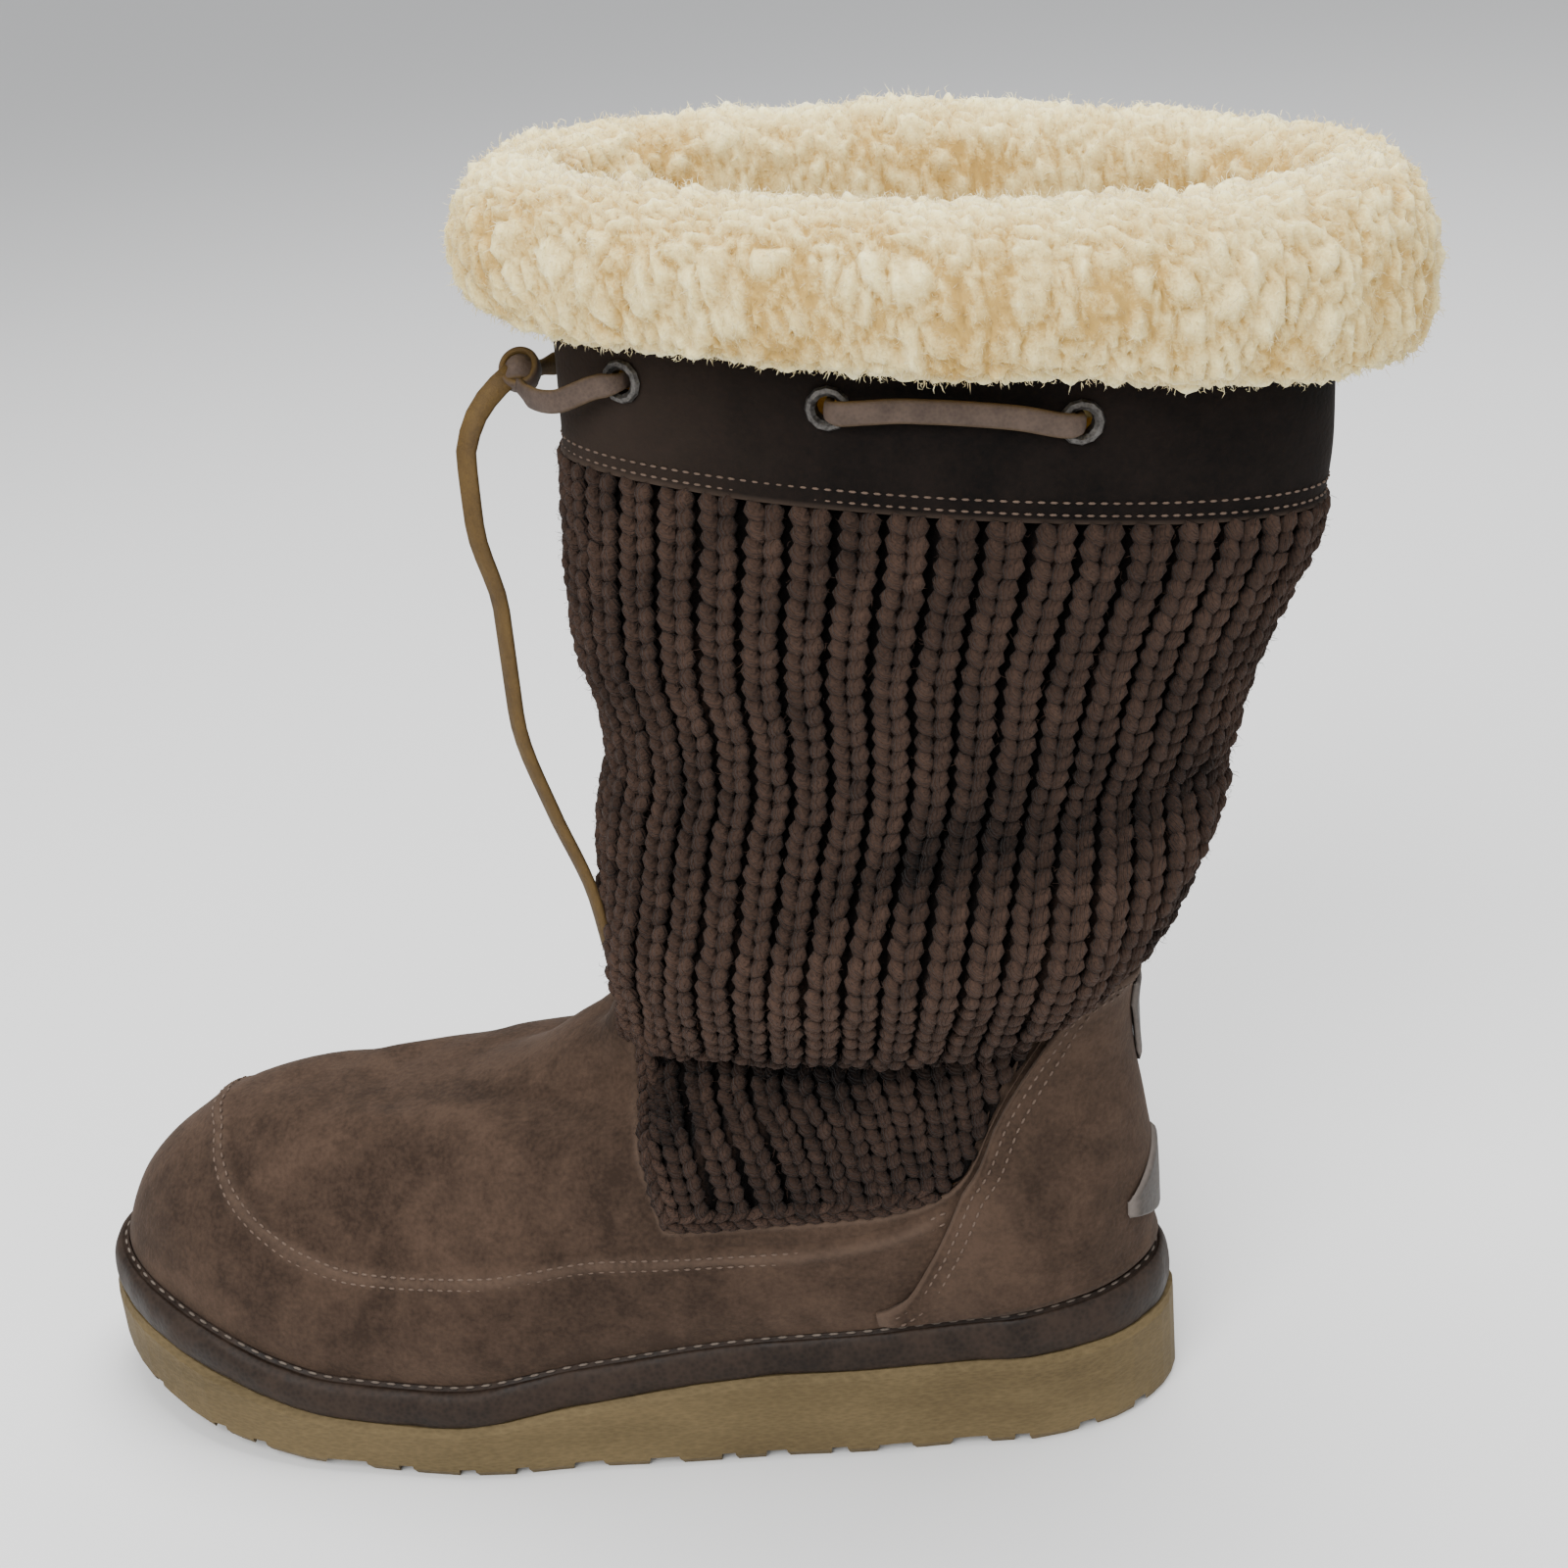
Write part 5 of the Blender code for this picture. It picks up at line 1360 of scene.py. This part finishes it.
# heel badge and back stay: bare grey leather laid on the counter
patchStyle = {"lift": 0.00122, "wall": 0.0013, "halfAt": 0.10, "edge": 0.0010}
allLevels = np.linspace(0.0, lastLevel, 600)
patches = {
    "badge_leather": ("heel_badge", 0.0320, 0.0425, 0.0665, 0.36, 0.46, 26, 18),
    "stay_leather": ("back_stay", 0.0150, 0.0843, 0.1103, 0.62, 0.04, 16, 18),
}
for name, (node, width, lowHeight, highHeight, lowPoint, highPoint, columns, rows) in patches.items():
    halfTurn = 0.5 * width / (float(halfWidth(patchStyle["halfAt"])) / patchStyle["halfAt"])
    lowLevel, highLevel = np.interp([lowHeight, highHeight], ringValue(3, allLevels), allLevels)

    def patchLay(u, v):
        signed = halfTurn * (2.0 * u - 1.0)
        turns, sides = np.abs(signed), np.where(signed > 0, 1.0, -1.0)
        low = lowLevel + (highLevel - lowLevel) * lowPoint * turns / halfTurn
        high = highLevel - (highLevel - lowLevel) * highPoint * turns / halfTurn
        level = low + (high - low) * v
        edge = np.minimum(np.minimum(v, 1.0 - v), np.minimum(u, 1.0 - u))
        push = 2.2 * patchStyle["wall"] + patchStyle["lift"]
        push = push - patchStyle["edge"] * (1.0 - eased(edge, 0.0, 0.08))
        painted["wearAndPaintedLight"] = 0.5 * (1.0 - eased(edge, 0.0, 0.09))
        return surface(turns, sides, level) + normal(turns, sides, level) * push[:, None]

    patchPiece = laidGrid(name, columns, rows, patchLay)
    applied(patchPiece, "SOLIDIFY", thickness=patchStyle["wall"], offset=-1.0)
    faceOut(patchPiece)
    place(patchPiece, greyHide, node, cadSlot="grey_leather")
print("badge and stay made")

# pieces that keep their solids' shapes
finishes = {"outsole": foam}
for side in ("outer", "inner"):
    for number in (1, 2, 3):
        finishes["eyelet_%s_%d" % (side, number)] = silver
for node, look in finishes.items():
    for slotNumber in range(len(nodes[node].data.materials)):
        nodes[node].data.materials[slotNumber] = look

# seams: rows of thread along lines given as (turn, level)
seamStyle = {"pitch": 0.0025, "length": 0.0017, "width": 0.00060, "thickness": 0.0005}
stitch = smallForm(bpy.ops.mesh.primitive_uv_sphere_add, (1.0, 1.0, 1.0), segments=6, ring_count=4,
                   radius=0.5, rotation=(math.radians(90), 0.0, 0.0))


def stitchRow(points, outs, style, closed=False):
    spots, tangent, where, steps = resampled(points, style["pitch"], closed)
    if closed:
        outs = np.vstack([outs, outs[:1]])
    out = unit(sampled(where, steps, outs))
    across = unit(np.cross(tangent, out))
    sizes = np.tile([style["width"], style["length"], style["thickness"]], (len(spots), 1))
    return spots + out * style["thickness"] * 0.15, across, tangent, out, sizes


def stitchPiece(name, rows, look):
    spots, across, tangent, out, sizes = [np.vstack(part) for part in zip(*rows)]
    tones = np.random.default_rng(len(name)).normal(0.5, 0.15, len(spots))
    return place(scattered(name, stitch, spots, across, tangent, out, sizes, tones), look)


rows = []
apronRange = np.linspace(0.283, 1.0, 260)
for offset in (-0.0012, -0.0040):
    ring = []
    for side, order in ((-1.0, 1), (1.0, -1)):
        turns, sides = apronRange[::order], np.full(260, side)
        level = apronEdge(turns)
        level = level + offset / metresPerLevel(turns, sides, level)
        ring.append((surface(turns, sides, level), normal(turns, sides, level)))
    points = np.vstack([ring[0][0], ring[1][0][1:]])
    outs = np.vstack([ring[0][1], ring[1][1][1:]])
    rows.append(stitchRow(points + outs * 0.0009, outs, seamStyle))
stitchPiece("apron_stitches", rows, thread)

rows = []
for offset in (0.0018, 0.0042):
    phase = np.linspace(0.0, 2.0, 500)[:-1]
    turns, sides = wrapped(phase)
    level = np.full(len(turns), seamLevel)
    level = level + offset / metresPerLevel(turns, sides, level)
    out = normal(turns, sides, level)
    rows.append(stitchRow(surface(turns, sides, level) + out * 0.0001, out, seamStyle, True))
stitchPiece("band_stitches", rows, thread)

rows = []
for inset in (0.0022, 0.0050):
    for side in (-1.0, 1.0):
        turns = np.linspace(0.06, 0.322, 200)
        sides = np.full(200, side)
        level = counterTop(turns)
        out = normal(turns, sides, level)
        line = surface(turns, sides, level) + out * (counterStyle["lift"] + counterStyle["wall"])
        line = line + unit(np.cross(out, np.gradient(line, axis=0))) * inset * np.where(side < 0, 1.0, -1.0)
        rows.append(stitchRow(line, out, seamStyle))
stitchPiece("counter_stitches", rows, thread)

rows = []
phase = np.linspace(0.0, 2.0, 900)[:-1]
line, outward = weltPoint(phase, np.full(len(phase), 0.22), np.full(len(phase), 1.02))
out = unit(outward * 0.5 + np.array([0.0, 0.0, 1.0]))
rows.append(stitchRow(line, out, {"pitch": 0.0040, "length": 0.0026, "width": 0.0007, "thickness": 0.0005},
                      True))
stitchPiece("welt_stitches", rows, paleThread)
print("seams made")

# floor and soft light
floorSize = 24.0
bpy.ops.object.select_all(action="DESELECT")
bpy.ops.mesh.primitive_plane_add(size=floorSize, location=(0.0, 0.0, -0.0001))
floor = bpy.context.active_object
floor.name = "paleFloor"
floor.data.materials.append(newMaterial("paleFloorFinish", Roughness=0.85,
                                        Base_Color=(0.74, 0.74, 0.735, 1.0))[0])

lights = {
    "key": {"place": (-0.45, -1.20, 1.25), "size": 1.0, "power": 37.0},
    "fill": {"place": (1.15, -0.95, 0.80), "size": 1.3, "power": 6.0},
    "top": {"place": (0.10, 0.25, 1.60), "size": 1.1, "power": 34.0},
}
for name, light in lights.items():
    data = bpy.data.lights.new(name + "Light", "AREA")
    data.size = light["size"]
    data.energy = light["power"]
    lamp = bpy.data.objects.new(name + "Light", data)
    bpy.context.scene.collection.objects.link(lamp)
    toward = Vector((-0.03, 0.0, 0.14)) - Vector(light["place"])
    turned = toward.to_track_quat("-Z", "Y").to_matrix().to_4x4()
    lamp.matrix_world = Matrix.Translation(light["place"]) @ turned
world = bpy.data.worlds.new("softRoom")
world.use_nodes = True
world.node_tree.nodes["Background"].inputs["Color"].default_value = (0.82, 0.83, 0.85, 1.0)
world.node_tree.nodes["Background"].inputs["Strength"].default_value = 0.85
bpy.context.scene.world = world
